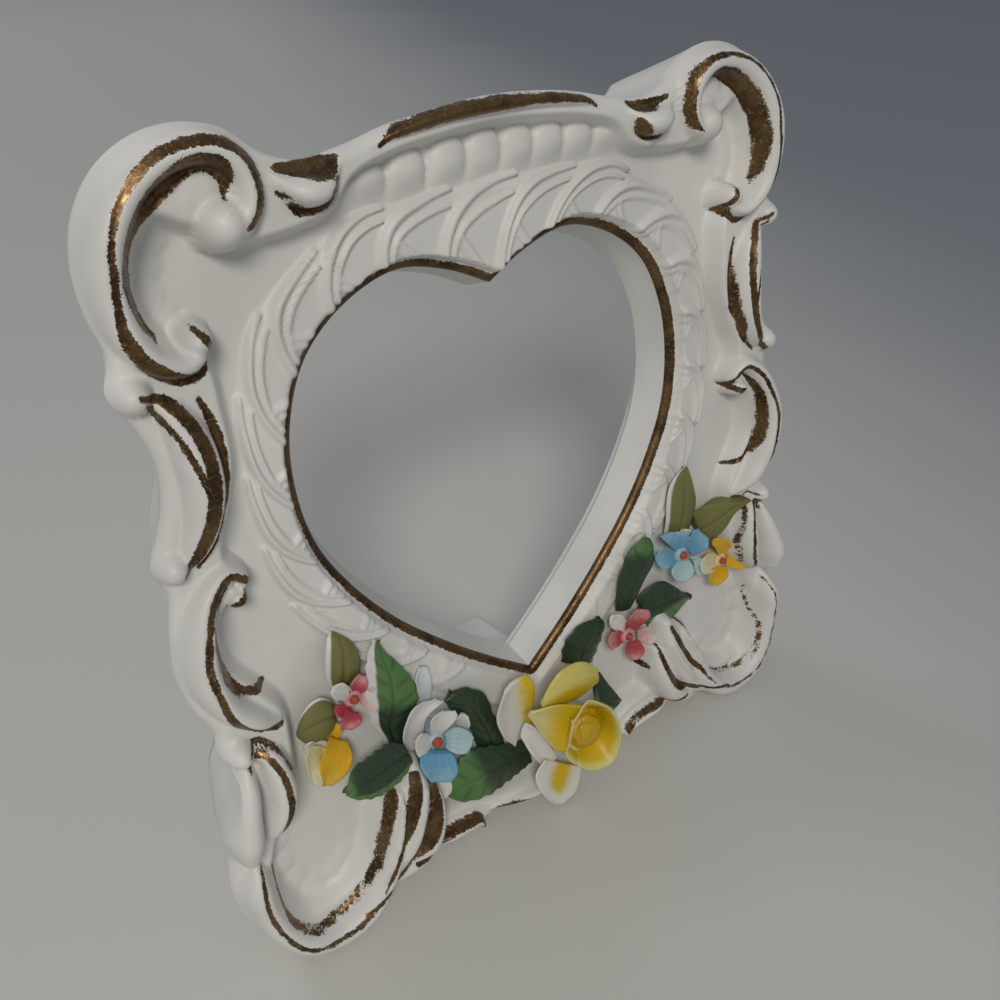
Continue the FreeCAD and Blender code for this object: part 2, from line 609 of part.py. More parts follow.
def make_button(label, foot):
    """Domed button seated face to face on the middle of its flower."""
    body = doc.addObject("PartDesign::Body", label)
    plane = [item for item in body.Origin.OriginFeatures if item.Role == "XY_Plane"][0]
    sketch = body.newObject("Sketcher::SketchObject", label + "_section")
    sketch.AttachmentSupport = [(plane, "")]
    sketch.MapMode = "FlatFace"
    radius = size("button_radius")
    rise = size("button_rise")
    shoulder = rise * BUTTON_SHOULDER_SHARE
    sketch.addGeometry(Part.LineSegment(V(0, 0, 0), V(radius, 0, 0)))
    sketch.addGeometry(Part.LineSegment(V(radius, 0, 0), V(radius, -shoulder, 0)))
    sketch.addGeometry(Part.LineSegment(V(radius, -shoulder, 0), V(radius * BUTTON_CROWN_SHARE, -rise, 0)))
    sketch.addGeometry(Part.LineSegment(V(radius * BUTTON_CROWN_SHARE, -rise, 0), V(0, -rise, 0)))
    sketch.addGeometry(Part.LineSegment(V(0, -rise, 0), V(0, 0, 0)))
    sides = sketch.GeometryCount
    for first in range(sides):
        sketch.addConstraint(Sketcher.Constraint("Coincident", first, 2, (first + 1) % sides, 1))
    sketch.addConstraint(Sketcher.Constraint("Coincident", 0, 1, -1, 1))
    sketch.addConstraint(Sketcher.Constraint("Horizontal", 0))
    sketch.addConstraint(Sketcher.Constraint("Vertical", 1))
    sketch.addConstraint(Sketcher.Constraint("Horizontal", 3))
    sketch.addConstraint(Sketcher.Constraint("Vertical", 4))
    wide = sketch.addConstraint(Sketcher.Constraint("Distance", 0, radius))
    tall = sketch.addConstraint(Sketcher.Constraint("Distance", 4, rise))
    side = sketch.addConstraint(Sketcher.Constraint("Distance", 1, shoulder))
    crown = sketch.addConstraint(Sketcher.Constraint("Distance", 3, radius * BUTTON_CROWN_SHARE))
    sketch.setExpression("Constraints[%d]" % wide, cell("button_radius"))
    sketch.setExpression("Constraints[%d]" % tall, cell("button_rise"))
    sketch.setExpression("Constraints[%d]" % side, cell("button_rise") + " * %g" % BUTTON_SHOULDER_SHARE)
    sketch.setExpression("Constraints[%d]" % crown, cell("button_radius") + " * %g" % BUTTON_CROWN_SHARE)
    turned = body.newObject("PartDesign::Revolution", label + "_turned")
    turned.Profile = sketch
    turned.ReferenceAxis = (sketch, ["V_Axis"])
    turned.Angle = 360.0
    body.Tip = turned
    perch = seat_rise + size("flower_stem_rise") + size("petal_thickness")
    lean_back(body, FreeCAD.Placement(plan(foot[0], foot[1], perch), FreeCAD.Rotation()))


def make_rose():
    """The large rose: base, outer petals, rolled inner petals and the scrolled heart."""
    share_x, share_z = ROSE_SHARES
    seat = plan(share_x, share_z, seat_rise)
    base_rise = size("rose_base_rise")
    cup_radius = size("rose_cup_radius")

    base = doc.addObject("Part::Cone", "rose_base")
    base.setExpression("Radius1", cell("rose_base_radius"))
    base.setExpression("Radius2", cell("rose_cup_radius"))
    base.setExpression("Height", cell("rose_base_rise"))
    doc.recompute()
    forward = FreeCAD.Rotation(V(1.0, 0.0, 0.0), 90.0)
    lean_back(base, FreeCAD.Placement(seat, forward))

    for label, heading in ROSE_PETAL_ROWS:
        petal = blade_solid(size("rose_petal_length"), size("rose_petal_width"), size("petal_thickness"),
                            size("rose_petal_cup"), size("rose_petal_lift"), PETAL_SECTION_SHARES)
        out = heading_turn(heading).multVec(V(cup_radius + seat_gap, -base_rise * PETAL_SEAT_SHARE, 0.0))
        lean_back(feature(label, petal), FreeCAD.Placement(seat + out, heading_turn(heading)))

    skin = size("petal_thickness")
    inner_rise = size("rose_inner_rise")
    flare = size("rose_inner_flare")
    perch = seat + V(0.0, -base_rise - seat_gap, 0.0)
    inner_foot = cup_radius - skin
    bulge = inner_foot + flare * INNER_PETAL_BULGE_SHARES[0]
    bulge_rise = inner_rise * INNER_PETAL_BULGE_SHARES[1]
    outside = [V(inner_foot, 0.0, 0.0), V(bulge, -bulge_rise, 0.0), V(inner_foot + flare, -inner_rise, 0.0)]
    inside = [point - V(skin, 0.0, 0.0) for point in reversed(outside)]
    profile = Part.makePolygon(outside + inside + outside[:1])
    for index, heading in enumerate(ROSE_INNER_HEADINGS, start=1):
        petal = Part.Face(profile).revolve(V(0.0, 0.0, 0.0), V(0.0, 1.0, 0.0), ROSE_INNER_SWEEP)
        lean_back(feature("rose_inner_petal_%d" % index, petal),
                  FreeCAD.Placement(perch, heading_turn(heading)))

    radius = size("rose_heart_radius")
    turns = []
    steps = HEART_TURN_STEPS
    for side in (0.0, 1.0):
        rim = []
        for step in range(steps + 1):
            angle = 2.0 * math.pi * HEART_TURNS * step / steps
            reach = radius * (HEART_START_SHARE + (1.0 - HEART_START_SHARE) * step / steps) - side * skin
            rim.append(V(reach * math.cos(angle), 0.0, reach * math.sin(angle)))
        turns.append(rim)
    scroll = Part.makePolygon(turns[0] + list(reversed(turns[1])) + turns[0][:1])
    bud = Part.Face(scroll).extrude(V(0.0, -size("rose_heart_rise"), 0.0))
    lean_back(feature("rose_heart", bud), FreeCAD.Placement(perch, FreeCAD.Rotation()))


def make_rear_foot():
    """Low prop behind the frame: it meets the back face and the table, face to face."""
    wide = size("foot_width")
    reach = size("foot_reach")
    top = size("foot_top")
    toe = size("foot_toe")
    table = centre_height
    knee_out, knee_up = FOOT_KNEE_SHARES
    # In leaned coordinates the back face runs through this line on the table
    start = body_back / math.cos(lean) - table * math.tan(lean)
    side = Part.makePolygon([
        V(-wide / 2, start, -table),
        V(-wide / 2, start + reach, -table),
        V(-wide / 2, start + reach, -table + toe),
        V(-wide / 2, start + reach * knee_out, -table + toe + (top - toe) * knee_up),
        V(-wide / 2, start + top * math.tan(lean), -table + top),
        V(-wide / 2, start, -table),
    ])
    wedge = Part.Face(side).extrude(V(wide, 0.0, 0.0))
    long_edges = [edge for edge in wedge.Edges if edge.BoundBox.XLength < wide / 2
                  and edge.BoundBox.ZMin > -table + toe / 2 and edge.BoundBox.YMax - edge.BoundBox.YMin > toe]
    foot = feature("rear_foot", wedge.makeFillet(size("foot_round"), long_edges))
    foot.Placement = FreeCAD.Placement(V(0.0, -size("footprint_middle"), table), FreeCAD.Rotation())
    sub_parts.append(foot)


sub_parts = []
frame_body = feature("frame_body", make_body().cut(table_block()))
lean_back(frame_body)
make_rear_foot()
for leaf_row in LEAF_ROWS:
    make_leaf(*leaf_row)
for flower_row in FLOWER_ROWS:
    make_flower(*flower_row)
make_rose()
doc.recompute()

for item in doc.Objects:
    if "Invalid" in item.State or "Error" in item.State:
        raise RuntimeError("failed object: " + item.Label)
for part_object in sub_parts:
    if part_object.Shape.isNull() or not part_object.Shape.isValid():
        raise RuntimeError("bad shape: " + part_object.Label)

os.makedirs("parts", exist_ok=True)
for part_object in sub_parts:
    part_object.Shape.exportStep("parts/%s.step" % part_object.Label)
print("sub-parts written:", len(sub_parts))
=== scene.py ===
"""Heart shaped photo frame in white bisque: a gilt scrolled casting with painted leaves and flowers."""
import logging
import math
from dataclasses import dataclass, field
from enum import Enum

import bmesh
import bpy
import numpy as np
from mathutils import Matrix, Vector


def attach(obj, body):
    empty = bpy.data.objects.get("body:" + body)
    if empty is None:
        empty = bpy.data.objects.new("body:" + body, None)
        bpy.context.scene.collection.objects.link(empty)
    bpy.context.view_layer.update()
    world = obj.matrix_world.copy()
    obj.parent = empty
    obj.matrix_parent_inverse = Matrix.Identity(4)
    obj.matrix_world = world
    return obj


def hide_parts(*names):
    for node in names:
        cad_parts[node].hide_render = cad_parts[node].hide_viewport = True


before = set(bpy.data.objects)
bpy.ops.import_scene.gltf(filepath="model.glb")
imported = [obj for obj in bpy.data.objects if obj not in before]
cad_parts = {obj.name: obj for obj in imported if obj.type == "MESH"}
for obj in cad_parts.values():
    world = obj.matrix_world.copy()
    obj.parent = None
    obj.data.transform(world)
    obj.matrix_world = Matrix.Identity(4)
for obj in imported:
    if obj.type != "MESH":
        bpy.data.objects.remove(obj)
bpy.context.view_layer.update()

Array = np.ndarray
Rows = tuple[tuple[float, ...], ...]
Pair = tuple[float, float]
Triple = tuple[float, float, float]
Faces = list[tuple[int, ...]]
Piece = bpy.types.Object
Material = bpy.types.Material
NodeTree = bpy.types.NodeTree
Node = bpy.types.Node
Socket = bpy.types.NodeSocket
log = logging.getLogger("heart_frame")

MM = 0.001
BODY = "root"
TINY = 1e-9
# Millimetres: the least half width of a band or rib, and the distance that stands for no gilding
LEAST_HALF = 0.1
FAR_FROM_GILT = 9.0


@dataclass(frozen=True)
class LeaningPlane:
    """The plan of the frame: x to the right, z up its face, and rise towards the viewer.

    Plan places are millimetres from the middle of the heart opening. The plan leans back
    and stands on the table.
    """

    lean_degrees: float = 8.0
    centre_height: float = 86.618
    footprint_middle: float = 26.0

    def world(self, x: Array, z: Array, rise: Array) -> Array:
        """Places in the part's own frame.

        Args:
            x: Places to the right, in millimetres.
            z: Places up the face, in millimetres.
            rise: Distances forward of the opening's rim, in millimetres.

        Returns:
            One row of metres for each place.
        """
        lean = math.radians(self.lean_degrees)
        deep = z * math.sin(lean) - rise * math.cos(lean) - self.footprint_middle
        high = z * math.cos(lean) + rise * math.sin(lean) + self.centre_height
        return np.stack([x, deep, high], axis=-1) * MM

    def matrix(self) -> Matrix:
        """Turns and shifts plan axes (x, -rise, z), in metres, to the part's own frame.

        Returns:
            The matrix.
        """
        turn = Matrix.Rotation(-math.radians(self.lean_degrees), 4, "X")
        shift = Matrix.Translation((0.0, -self.footprint_middle * MM, self.centre_height * MM))
        return shift @ turn


PLANE = LeaningPlane()


def smooth_curve(rows: Rows, step: float, closed: bool = False) -> Array:
    """A smooth curve through rows of places, at about even steps.

    Args:
        rows: Rows of x, z and any further values that run along the curve.
        step: Distance between the places that come back, in millimetres.
        closed: Whether the last row runs on into the first.

    Returns:
        Rows like those given, with many more of them.
    """
    points = np.array(rows, float)
    if closed:
        ring = np.vstack([points[-2:], points, points[:3]])
    else:
        first = 2.0 * points[0] - points[1]
        last = 2.0 * points[-1] - points[-2]
        ring = np.vstack([first, points, last])
    gaps = np.linalg.norm(np.diff(ring[:, :2], axis=0), axis=1)
    slopes = np.diff(ring, axis=0) / gaps[:, None]
    weighted = slopes[:-1] * gaps[1:, None] + slopes[1:] * gaps[:-1, None]
    tangents = weighted / (gaps[1:] + gaps[:-1])[:, None]
    start = 2 if closed else 1
    count = len(points) if closed else len(points) - 1
    pieces = []
    for index in range(start, start + count):
        gap = gaps[index]
        steps = max(2, int(round(gap / step)))
        t = np.arange(steps)[:, None] / steps
        ease_a = 2 * t**3 - 3 * t**2 + 1
        ease_b = t**3 - 2 * t**2 + t
        ease_c = -2 * t**3 + 3 * t**2
        ease_d = t**3 - t**2
        pieces.append(ease_a * ring[index] + ease_b * gap * tangents[index - 1]
                      + ease_c * ring[index + 1] + ease_d * gap * tangents[index])
    if not closed:
        pieces.append(points[-1:])
    return np.vstack(pieces)


def nearest(curve: Array, x: Array, z: Array, reach: float = math.inf) -> tuple[Array, Array]:
    """Distance to an open curve, and the place along it.

    Args:
        curve: Rows of x, z and any further values.
        x: Places to the right.
        z: Places up the face.
        reach: Places further than this from the curve's box are left out, and read as infinity.

    Returns:
        The distances, and for each place the curve's row, interpolated, that lies nearest.
    """
    distance = np.full(x.shape, np.inf)
    rows = np.zeros(x.shape + (curve.shape[1],))
    low, high = curve[:, :2].min(0) - reach, curve[:, :2].max(0) + reach
    near = np.nonzero((x >= low[0]) & (x <= high[0]) & (z >= low[1]) & (z <= high[1]))[0]
    a, b = curve[:-1], curve[1:]
    run = b[:, :2] - a[:, :2]
    square = (run**2).sum(1)
    chunk = 4000
    for start in range(0, len(near), chunk):
        ids = near[start:start + chunk]
        to = np.stack([x[ids], z[ids]], axis=-1)[:, None, :] - a[None, :, :2]
        share = np.clip((to * run).sum(2) / square, 0.0, 1.0)
        away = np.linalg.norm(to - share[..., None] * run, axis=2)
        best = away.argmin(1)
        pick = np.arange(len(ids))
        distance[ids] = away[pick, best]
        rows[ids] = a[best] + (b[best] - a[best]) * share[pick, best][:, None]
    return distance, rows


def ease(low: float, high: float, value: Array) -> Array:
    """Smooth step from 0 at low to 1 at high."""
    share = np.clip((value - low) / (high - low), 0.0, 1.0)
    return share * share * (3.0 - 2.0 * share)


def soft_max(a: Array, b: Array, blend: float) -> Array:
    """The larger of two heights, with their corner rounded over a blend."""
    share = np.clip(0.5 + 0.5 * (a - b) / blend, 0.0, 1.0)
    return b * (1.0 - share) + a * share + blend * share * (1.0 - share)


def dome(distance: Array, radius: float, power: float = 2.0) -> Array:
    """Height of a bump of one unit, round at a power of 2, at a distance from its middle."""
    return np.sqrt(np.clip(1.0 - (distance / radius) ** power, 0.0, 1.0))


def side_patch(breadth: float, edges: Pair, across: Array) -> Array:
    """Share of a patch along the side at 1, with its edges in breadths from that side."""
    start, end = edges
    return ease(1.0 - start * breadth, 1.0 - end * breadth, across)


def forward_normals(along: Array, across: Array) -> Array:
    """Unit normals of a grid of places, all turned so that they point forward.

    Args:
        along: Direction along the grid at each place.
        across: Direction across the grid at each place.

    Returns:
        One normal for each place.
    """
    normal = np.cross(along, across)
    normal /= np.maximum(np.linalg.norm(normal, axis=2, keepdims=True), TINY)
    return -normal if normal[..., 2].mean() < 0.0 else normal


@dataclass(frozen=True)
class Stroke:
    """A gilt line: rows of x, z and half width along its middle, and how deep it lies."""

    name: str
    rows: Rows
    sunk: float = 0.45


@dataclass(frozen=True)
class Band:
    """A raised band: rows of x, z and half width, and the rise of its crest."""

    name: str
    crest: float
    rows: Rows


@dataclass(frozen=True)
class Rib:
    """A rib of an arch: its lift, and rows of run, share across the arcade and half width."""

    lift: float
    step: float
    rows: Rows


OUTLINE: Rows = (
    (0.0, 86.0), (-12.0, 85.3), (-22.0, 83.8), (-31.0, 81.8), (-40.0, 81.0), (-45.0, 83.0), (-50.0, 87.2),
    (-57.0, 89.2), (-64.0, 88.5), (-71.0, 84.8), (-75.8, 79.0), (-78.2, 72.0), (-78.4, 64.0), (-77.3, 57.0),
    (-79.2, 51.0), (-77.0, 46.0), (-75.1, 39.0), (-75.8, 31.0), (-78.6, 24.0), (-81.2, 18.5), (-79.7, 14.0),
    (-81.5, 5.0), (-82.9, -4.0), (-81.8, -13.0), (-79.5, -20.0), (-80.0, -25.5), (-78.7, -30.0),
    (-80.6, -37.0), (-84.6, -45.0), (-84.8, -52.0), (-86.0, -62.0), (-84.8, -72.5), (-80.5, -82.0),
    (-73.5, -88.3), (-65.0, -89.3), (-56.0, -87.3), (-46.8, -83.4), (-38.0, -81.6), (-31.0, -84.5),
    (-26.0, -86.0), (-22.6, -84.0), (-18.5, -82.4), (-10.0, -84.8), (0.0, -85.8),
)
FIELD: Rows = (
    (0.0, 81.0), (-12.0, 80.3), (-22.0, 79.0), (-30.0, 76.5), (-34.5, 72.0), (-43.0, 70.0), (-52.0, 70.0),
    (-60.0, 74.0), (-65.0, 76.5), (-69.5, 71.5), (-70.5, 64.0), (-68.0, 58.0), (-62.0, 52.0), (-61.6, 44.0),
    (-62.0, 35.0), (-65.0, 26.0), (-68.0, 19.0), (-68.0, 10.0), (-73.0, 3.0), (-73.2, -6.0), (-69.0, -14.0),
    (-65.5, -21.0), (-65.5, -31.0), (-67.0, -42.0), (-73.0, -51.0), (-76.8, -60.0), (-76.0, -70.0),
    (-71.0, -78.0), (-63.0, -78.5), (-57.0, -74.0), (-53.0, -67.0), (-50.0, -59.5), (-44.0, -57.5),
    (-37.5, -60.0), (-36.0, -67.0), (-34.0, -73.0), (-27.0, -74.5), (-20.0, -77.5), (-10.0, -80.0),
    (0.0, -81.0),
)
HEART: Rows = (
    (0.0, 50.3), (-9.0, 54.8), (-21.0, 57.6), (-32.0, 54.4), (-42.5, 46.3), (-48.3, 34.5), (-50.1, 20.0),
    (-48.4, 7.8), (-43.0, -4.5), (-34.5, -17.3), (-23.0, -30.0), (-11.5, -40.8), (0.0, -50.3),
)
ENVELOPE: Rows = (
    (0.0, 71.2), (-17.0, 70.3), (-32.3, 68.9), (-40.4, 63.9), (-50.9, 56.7), (-57.0, 45.6), (-59.7, 31.0),
    (-60.3, 18.0), (-58.6, 3.0), (-53.5, -9.5), (-44.5, -23.0), (-33.0, -36.0), (-20.0, -48.5), (0.0, -62.5),
)
BANDS: tuple[Band, ...] = (
    Band("corner", 13.5, (
        (-57.5, 73.5, 1.4), (-53.0, 72.3, 2.6), (-49.6, 76.0, 3.0), (-49.8, 81.0, 3.2), (-53.5, 84.8, 3.4),
        (-59.5, 85.3, 3.6), (-66.0, 82.8, 3.9), (-71.0, 77.9, 4.1), (-74.0, 71.5, 4.1), (-74.4, 65.0, 3.9),
        (-73.3, 59.5, 3.6), (-70.5, 55.3, 3.3), (-66.3, 53.5, 2.9), (-63.2, 55.2, 2.2), (-63.8, 58.5, 1.0))),
    Band("side", 13.0, (
        (-74.2, 51.2, 1.4), (-70.6, 46.0, 3.6), (-68.8, 39.0, 4.8), (-68.8, 32.0, 4.9), (-70.6, 25.5, 4.3),
        (-74.2, 19.8, 3.0), (-77.2, 16.8, 1.4))),
    Band("middle", 14.0, (
        (-68.5, 8.2, 0.8), (-66.3, 11.0, 1.8), (-69.2, 14.2, 2.4), (-73.2, 12.0, 3.0), (-76.5, 6.0, 3.8),
        (-78.0, -1.0, 4.3), (-77.6, -8.0, 4.3), (-75.2, -14.5, 3.8), (-71.5, -19.3, 3.2),
        (-67.5, -22.5, 1.8))),
    Band("lower", 14.0, (
        (-75.5, -25.5, 1.4), (-71.8, -28.0, 3.0), (-70.6, -34.0, 4.0), (-71.4, -41.0, 4.0),
        (-74.1, -47.0, 3.0), (-76.8, -50.5, 1.4))),
    Band("lobe", 14.6, (
        (-80.0, -53.0, 1.4), (-81.2, -60.0, 3.8), (-80.8, -68.5, 4.0), (-78.7, -76.0, 4.2),
        (-74.4, -82.6, 4.4), (-67.8, -86.0, 4.2), (-60.8, -84.6, 4.4), (-54.6, -79.0, 4.2),
        (-50.6, -72.0, 4.0), (-48.2, -65.0, 3.6), (-46.0, -57.5, 2.6))),
    Band("web", 13.4, (
        (-57.0, -84.0, 2.6), (-51.5, -79.0, 4.4), (-46.4, -72.0, 5.2), (-43.2, -64.5, 5.2),
        (-41.2, -57.0, 4.4), (-40.8, -53.0, 3.0))),
    Band("stem", 13.8, (
        (-54.0, -84.2, 1.2), (-47.0, -80.2, 3.4), (-41.0, -75.5, 4.4), (-37.8, -67.5, 4.0),
        (-37.0, -60.0, 2.4))),
    Band("ridge_left", 15.0, (
        (-60.0, -80.6, 0.5), (-56.6, -77.6, 0.8), (-52.6, -72.4, 1.0), (-49.2, -66.0, 1.0),
        (-46.2, -58.5, 0.8))),
    Band("ridge_right", 14.8, (
        (-55.0, -80.6, 0.4), (-50.6, -76.6, 0.7), (-46.8, -71.8, 1.0), (-43.0, -65.4, 1.0),
        (-39.9, -58.0, 0.8))),
    Band("hook", 12.0, (
        (-40.5, -79.0, 1.2), (-34.7, -78.6, 2.0), (-30.0, -78.8, 2.0), (-26.0, -80.2, 1.8),
        (-24.8, -83.0, 1.4))),
    Band("motif", 12.5, (
        (-44.8, 78.5, 1.4), (-41.5, 76.5, 3.2), (-37.0, 76.2, 3.4), (-33.0, 79.0, 1.4))),
    Band("arch", 10.0, (
        (-28.0, 80.6, 1.0), (-20.0, 82.6, 1.8), (-10.0, 84.0, 2.1), (0.0, 84.3, 2.2))),
    Band("rail", 11.0, (
        (-21.5, -80.2, 1.0), (-12.0, -82.2, 1.6), (0.0, -83.4, 1.8))),
    Band("pad", 15.6, (
        (-76.6, -29.5, 2.2), (-77.6, -34.0, 3.4), (-79.4, -40.0, 4.2), (-80.6, -45.5, 4.5),
        (-80.9, -49.3, 3.6))),
)
BALLS: Rows = (
    (-75.5, 50.5, 4.2, 11.6), (-77.6, 18.6, 4.0, 11.3), (-76.5, -25.5, 3.9, 12.6), (-54.6, 73.6, 5.2, 12.6),
    (-63.3, 56.8, 3.4, 11.6), (-68.4, 8.0, 2.8, 10.6), (-27.0, -82.0, 2.7, 9.8),
)
STROKES: tuple[Stroke, ...] = (
    Stroke("corner_outer", (
        (-51.5, 72.5, 0.5), (-49.0, 74.5, 1.1), (-48.0, 79.0, 1.2), (-49.5, 83.5, 1.0), (-53.0, 86.0, 0.9),
        (-58.0, 86.7, 0.8), (-63.0, 85.6, 0.7), (-68.0, 82.5, 0.7), (-71.0, 79.0, 0.6), (-73.0, 75.0, 0.5),
        (-74.0, 70.0, 0.6), (-74.7, 65.0, 0.7), (-74.6, 61.0, 1.0), (-73.0, 56.5, 1.2), (-70.5, 53.5, 1.4),
        (-67.0, 51.3, 1.4), (-65.0, 51.1, 1.2), (-62.8, 52.7, 0.9), (-61.6, 55.0, 0.8), (-62.5, 57.2, 0.8),
        (-63.7, 59.0, 0.5))),
    Stroke("corner_inner", (
        (-53.5, 77.5, 0.4), (-52.7, 80.0, 1.0), (-54.0, 82.6, 1.4), (-57.0, 83.5, 1.5), (-60.5, 82.3, 1.9),
        (-64.0, 80.2, 2.0), (-67.0, 77.6, 1.8), (-69.3, 74.8, 1.5), (-70.9, 71.5, 1.3), (-71.8, 67.8, 1.2),
        (-71.5, 64.0, 1.0), (-70.8, 61.0, 0.7), (-69.5, 58.7, 0.4))),
    Stroke("motif_patch", (
        (-44.2, 80.4, 0.6), (-41.0, 79.8, 1.2), (-37.5, 79.3, 1.7), (-34.5, 79.6, 1.5), (-33.0, 80.4, 0.6))),
    Stroke("motif_crescent", (
        (-42.8, 74.6, 0.5), (-41.6, 73.2, 0.8), (-39.5, 72.9, 0.8), (-37.0, 73.4, 1.0), (-35.2, 75.0, 1.3),
        (-34.2, 77.0, 0.9))),
    Stroke("motif_speck", ((-44.6, 76.8, 0.4), (-43.4, 75.7, 0.4))),
    Stroke("arch", (
        (-24.6, 80.9, 0.3), (-22.0, 82.3, 0.9), (-16.5, 83.4, 1.3), (-9.0, 84.2, 1.4),
        (0.0, 84.4, 1.4)), 0.0),
    Stroke("side_main", (
        (-75.0, 51.0, 0.5), (-71.0, 48.5, 1.0), (-68.5, 44.0, 1.2), (-67.4, 38.0, 1.3), (-68.0, 32.0, 1.4),
        (-70.0, 26.0, 1.4), (-73.0, 21.0, 1.2), (-76.5, 16.5, 0.6))),
    Stroke("side_thin", ((-74.3, 49.5, 0.4), (-71.2, 42.5, 0.5), (-69.6, 36.0, 0.6), (-69.0, 32.0, 0.6))),
    Stroke("side_inner", (
        (-65.5, 47.0, 0.5), (-64.5, 43.0, 0.9), (-64.3, 36.0, 1.1), (-65.0, 30.5, 1.1), (-67.0, 26.0, 0.9),
        (-69.5, 21.0, 0.7), (-73.5, 17.0, 0.4))),
    Stroke("middle_outer", (
        (-66.6, 12.4, 0.6), (-69.0, 13.9, 0.8), (-73.0, 11.3, 0.8), (-76.0, 5.5, 0.7), (-77.8, 0.0, 0.8),
        (-77.5, -8.0, 0.7), (-76.5, -14.0, 0.8), (-74.5, -18.5, 1.0), (-71.0, -22.0, 1.3),
        (-67.6, -23.6, 1.4))),
    Stroke("middle_inner", (
        (-68.6, 7.3, 1.4), (-66.0, 9.0, 0.8), (-65.7, 11.0, 0.7), (-68.0, 12.4, 0.6), (-71.5, 9.9, 0.7),
        (-74.0, 5.5, 0.8), (-75.0, 0.0, 0.9), (-75.0, -5.0, 0.9), (-73.5, -10.0, 0.8), (-70.5, -13.5, 0.8),
        (-67.0, -15.0, 0.5))),
    Stroke("lower_main", (
        (-75.6, -29.8, 0.5), (-75.2, -27.0, 0.7), (-73.0, -26.5, 0.7), (-71.0, -30.0, 0.7),
        (-70.3, -36.0, 0.8), (-71.0, -42.0, 0.8), (-73.0, -46.5, 0.7), (-75.0, -50.5, 0.4))),
    Stroke("lower_thin", (
        (-75.0, -25.0, 0.5), (-73.0, -24.5, 0.5), (-70.0, -27.0, 0.4), (-68.3, -32.0, 0.4),
        (-67.5, -37.0, 0.4), (-69.0, -43.0, 0.4), (-70.0, -45.5, 0.3))),
    Stroke("lobe_outer", (
        (-79.4, -55.0, 0.35), (-81.0, -60.1, 0.5), (-81.2, -65.6, 0.55), (-80.1, -71.9, 0.55),
        (-78.2, -77.5, 0.55), (-75.5, -81.6, 0.55), (-72.3, -83.7, 0.55), (-68.3, -84.9, 0.55),
        (-63.8, -84.5, 0.55), (-60.0, -83.1, 0.6))),
    Stroke("lobe_inner", (
        (-76.0, -58.0, 0.3), (-77.0, -66.0, 0.4), (-77.5, -70.1, 0.45), (-76.5, -74.5, 0.5),
        (-74.3, -78.3, 0.5), (-72.0, -80.6, 0.5), (-69.0, -82.1, 0.45), (-65.3, -82.1, 0.4),
        (-61.6, -80.6, 0.38), (-58.4, -77.9, 0.38), (-55.4, -74.3, 0.45), (-52.8, -69.5, 0.5),
        (-50.2, -63.3, 0.6), (-47.6, -57.5, 0.7), (-46.1, -54.0, 0.7))),
    Stroke("stem_middle", (
        (-55.6, -79.2, 0.3), (-52.6, -75.4, 0.6), (-49.6, -70.6, 1.0), (-46.5, -66.5, 1.35),
        (-44.0, -61.4, 1.55), (-42.2, -57.2, 1.5), (-41.4, -53.8, 1.2))),
    Stroke("stem_right", (
        (-61.0, -82.9, 0.5), (-57.4, -81.5, 0.6), (-53.2, -79.8, 0.8), (-49.4, -77.8, 1.05),
        (-45.6, -75.4, 1.5), (-42.0, -73.2, 1.8), (-39.8, -70.0, 1.9), (-38.2, -65.9, 1.6),
        (-37.2, -60.5, 1.1), (-37.0, -57.5, 0.6))),
    Stroke("stem_foot", ((-45.5, -78.4, 0.9), (-41.5, -78.0, 1.1), (-38.6, -77.7, 0.9))),
    Stroke("hook", (
        (-38.0, -77.9, 0.8), (-33.9, -77.5, 0.65), (-29.6, -77.8, 0.6), (-26.0, -79.0, 0.6),
        (-24.8, -81.0, 0.6), (-25.4, -83.0, 0.5), (-27.2, -82.6, 0.35)), 0.25),
    Stroke("rail", ((-20.0, -80.8, 0.45), (-16.0, -81.6, 0.7), (-10.0, -83.2, 0.5)), 0.0),
    Stroke("stem_nub", ((-34.2, -65.5, 0.9), (-33.9, -64.0, 0.9)), 0.0),
)
RIBS: tuple[Rib, ...] = (
    Rib(0.7, 0.8, ((8.4, 0.05, 0.6), (6.2, 0.20, 0.6), (4.4, 0.38, 0.5))),
    Rib(0.8, 0.8, ((10.3, 0.06, 0.8), (7.6, 0.24, 0.8), (5.2, 0.48, 0.7))),
    Rib(1.0, 1.0, ((1.9, 0.06, 0.6), (3.1, 0.28, 0.6), (5.3, 0.49, 0.6), (9.2, 0.68, 0.6),
                   (14.0, 0.79, 0.5), (17.5, 0.82, 0.3))),
    Rib(1.5, 1.0, ((0.0, 0.06, 0.95), (1.2, 0.30, 0.95), (3.6, 0.58, 0.95), (8.0, 0.85, 0.9),
                   (13.0, 0.96, 0.8), (18.5, 1.0, 0.5))),
)
SCALLOPS: Rows = (
    (-57.0, 79.5, 3.0), (-61.5, 77.0, 3.1), (-65.0, 73.5, 3.1), (-67.3, 69.2, 3.0), (-67.6, 64.5, 2.8),
    (-66.0, 60.6, 2.3), (-74.0, -57.5, 3.4), (-74.3, -64.5, 3.4), (-72.5, -71.0, 3.3), (-68.3, -75.3, 3.2),
    (-63.0, -75.3, 3.1), (-58.9, -71.5, 3.0),
)


def mirrored(rows: Rows) -> Rows:
    """A whole ring from its left half; the rows on the middle line are used once."""
    right = tuple((-row[0],) + tuple(row[1:]) for row in reversed(rows) if row[0] != 0.0)
    return tuple(rows) + right


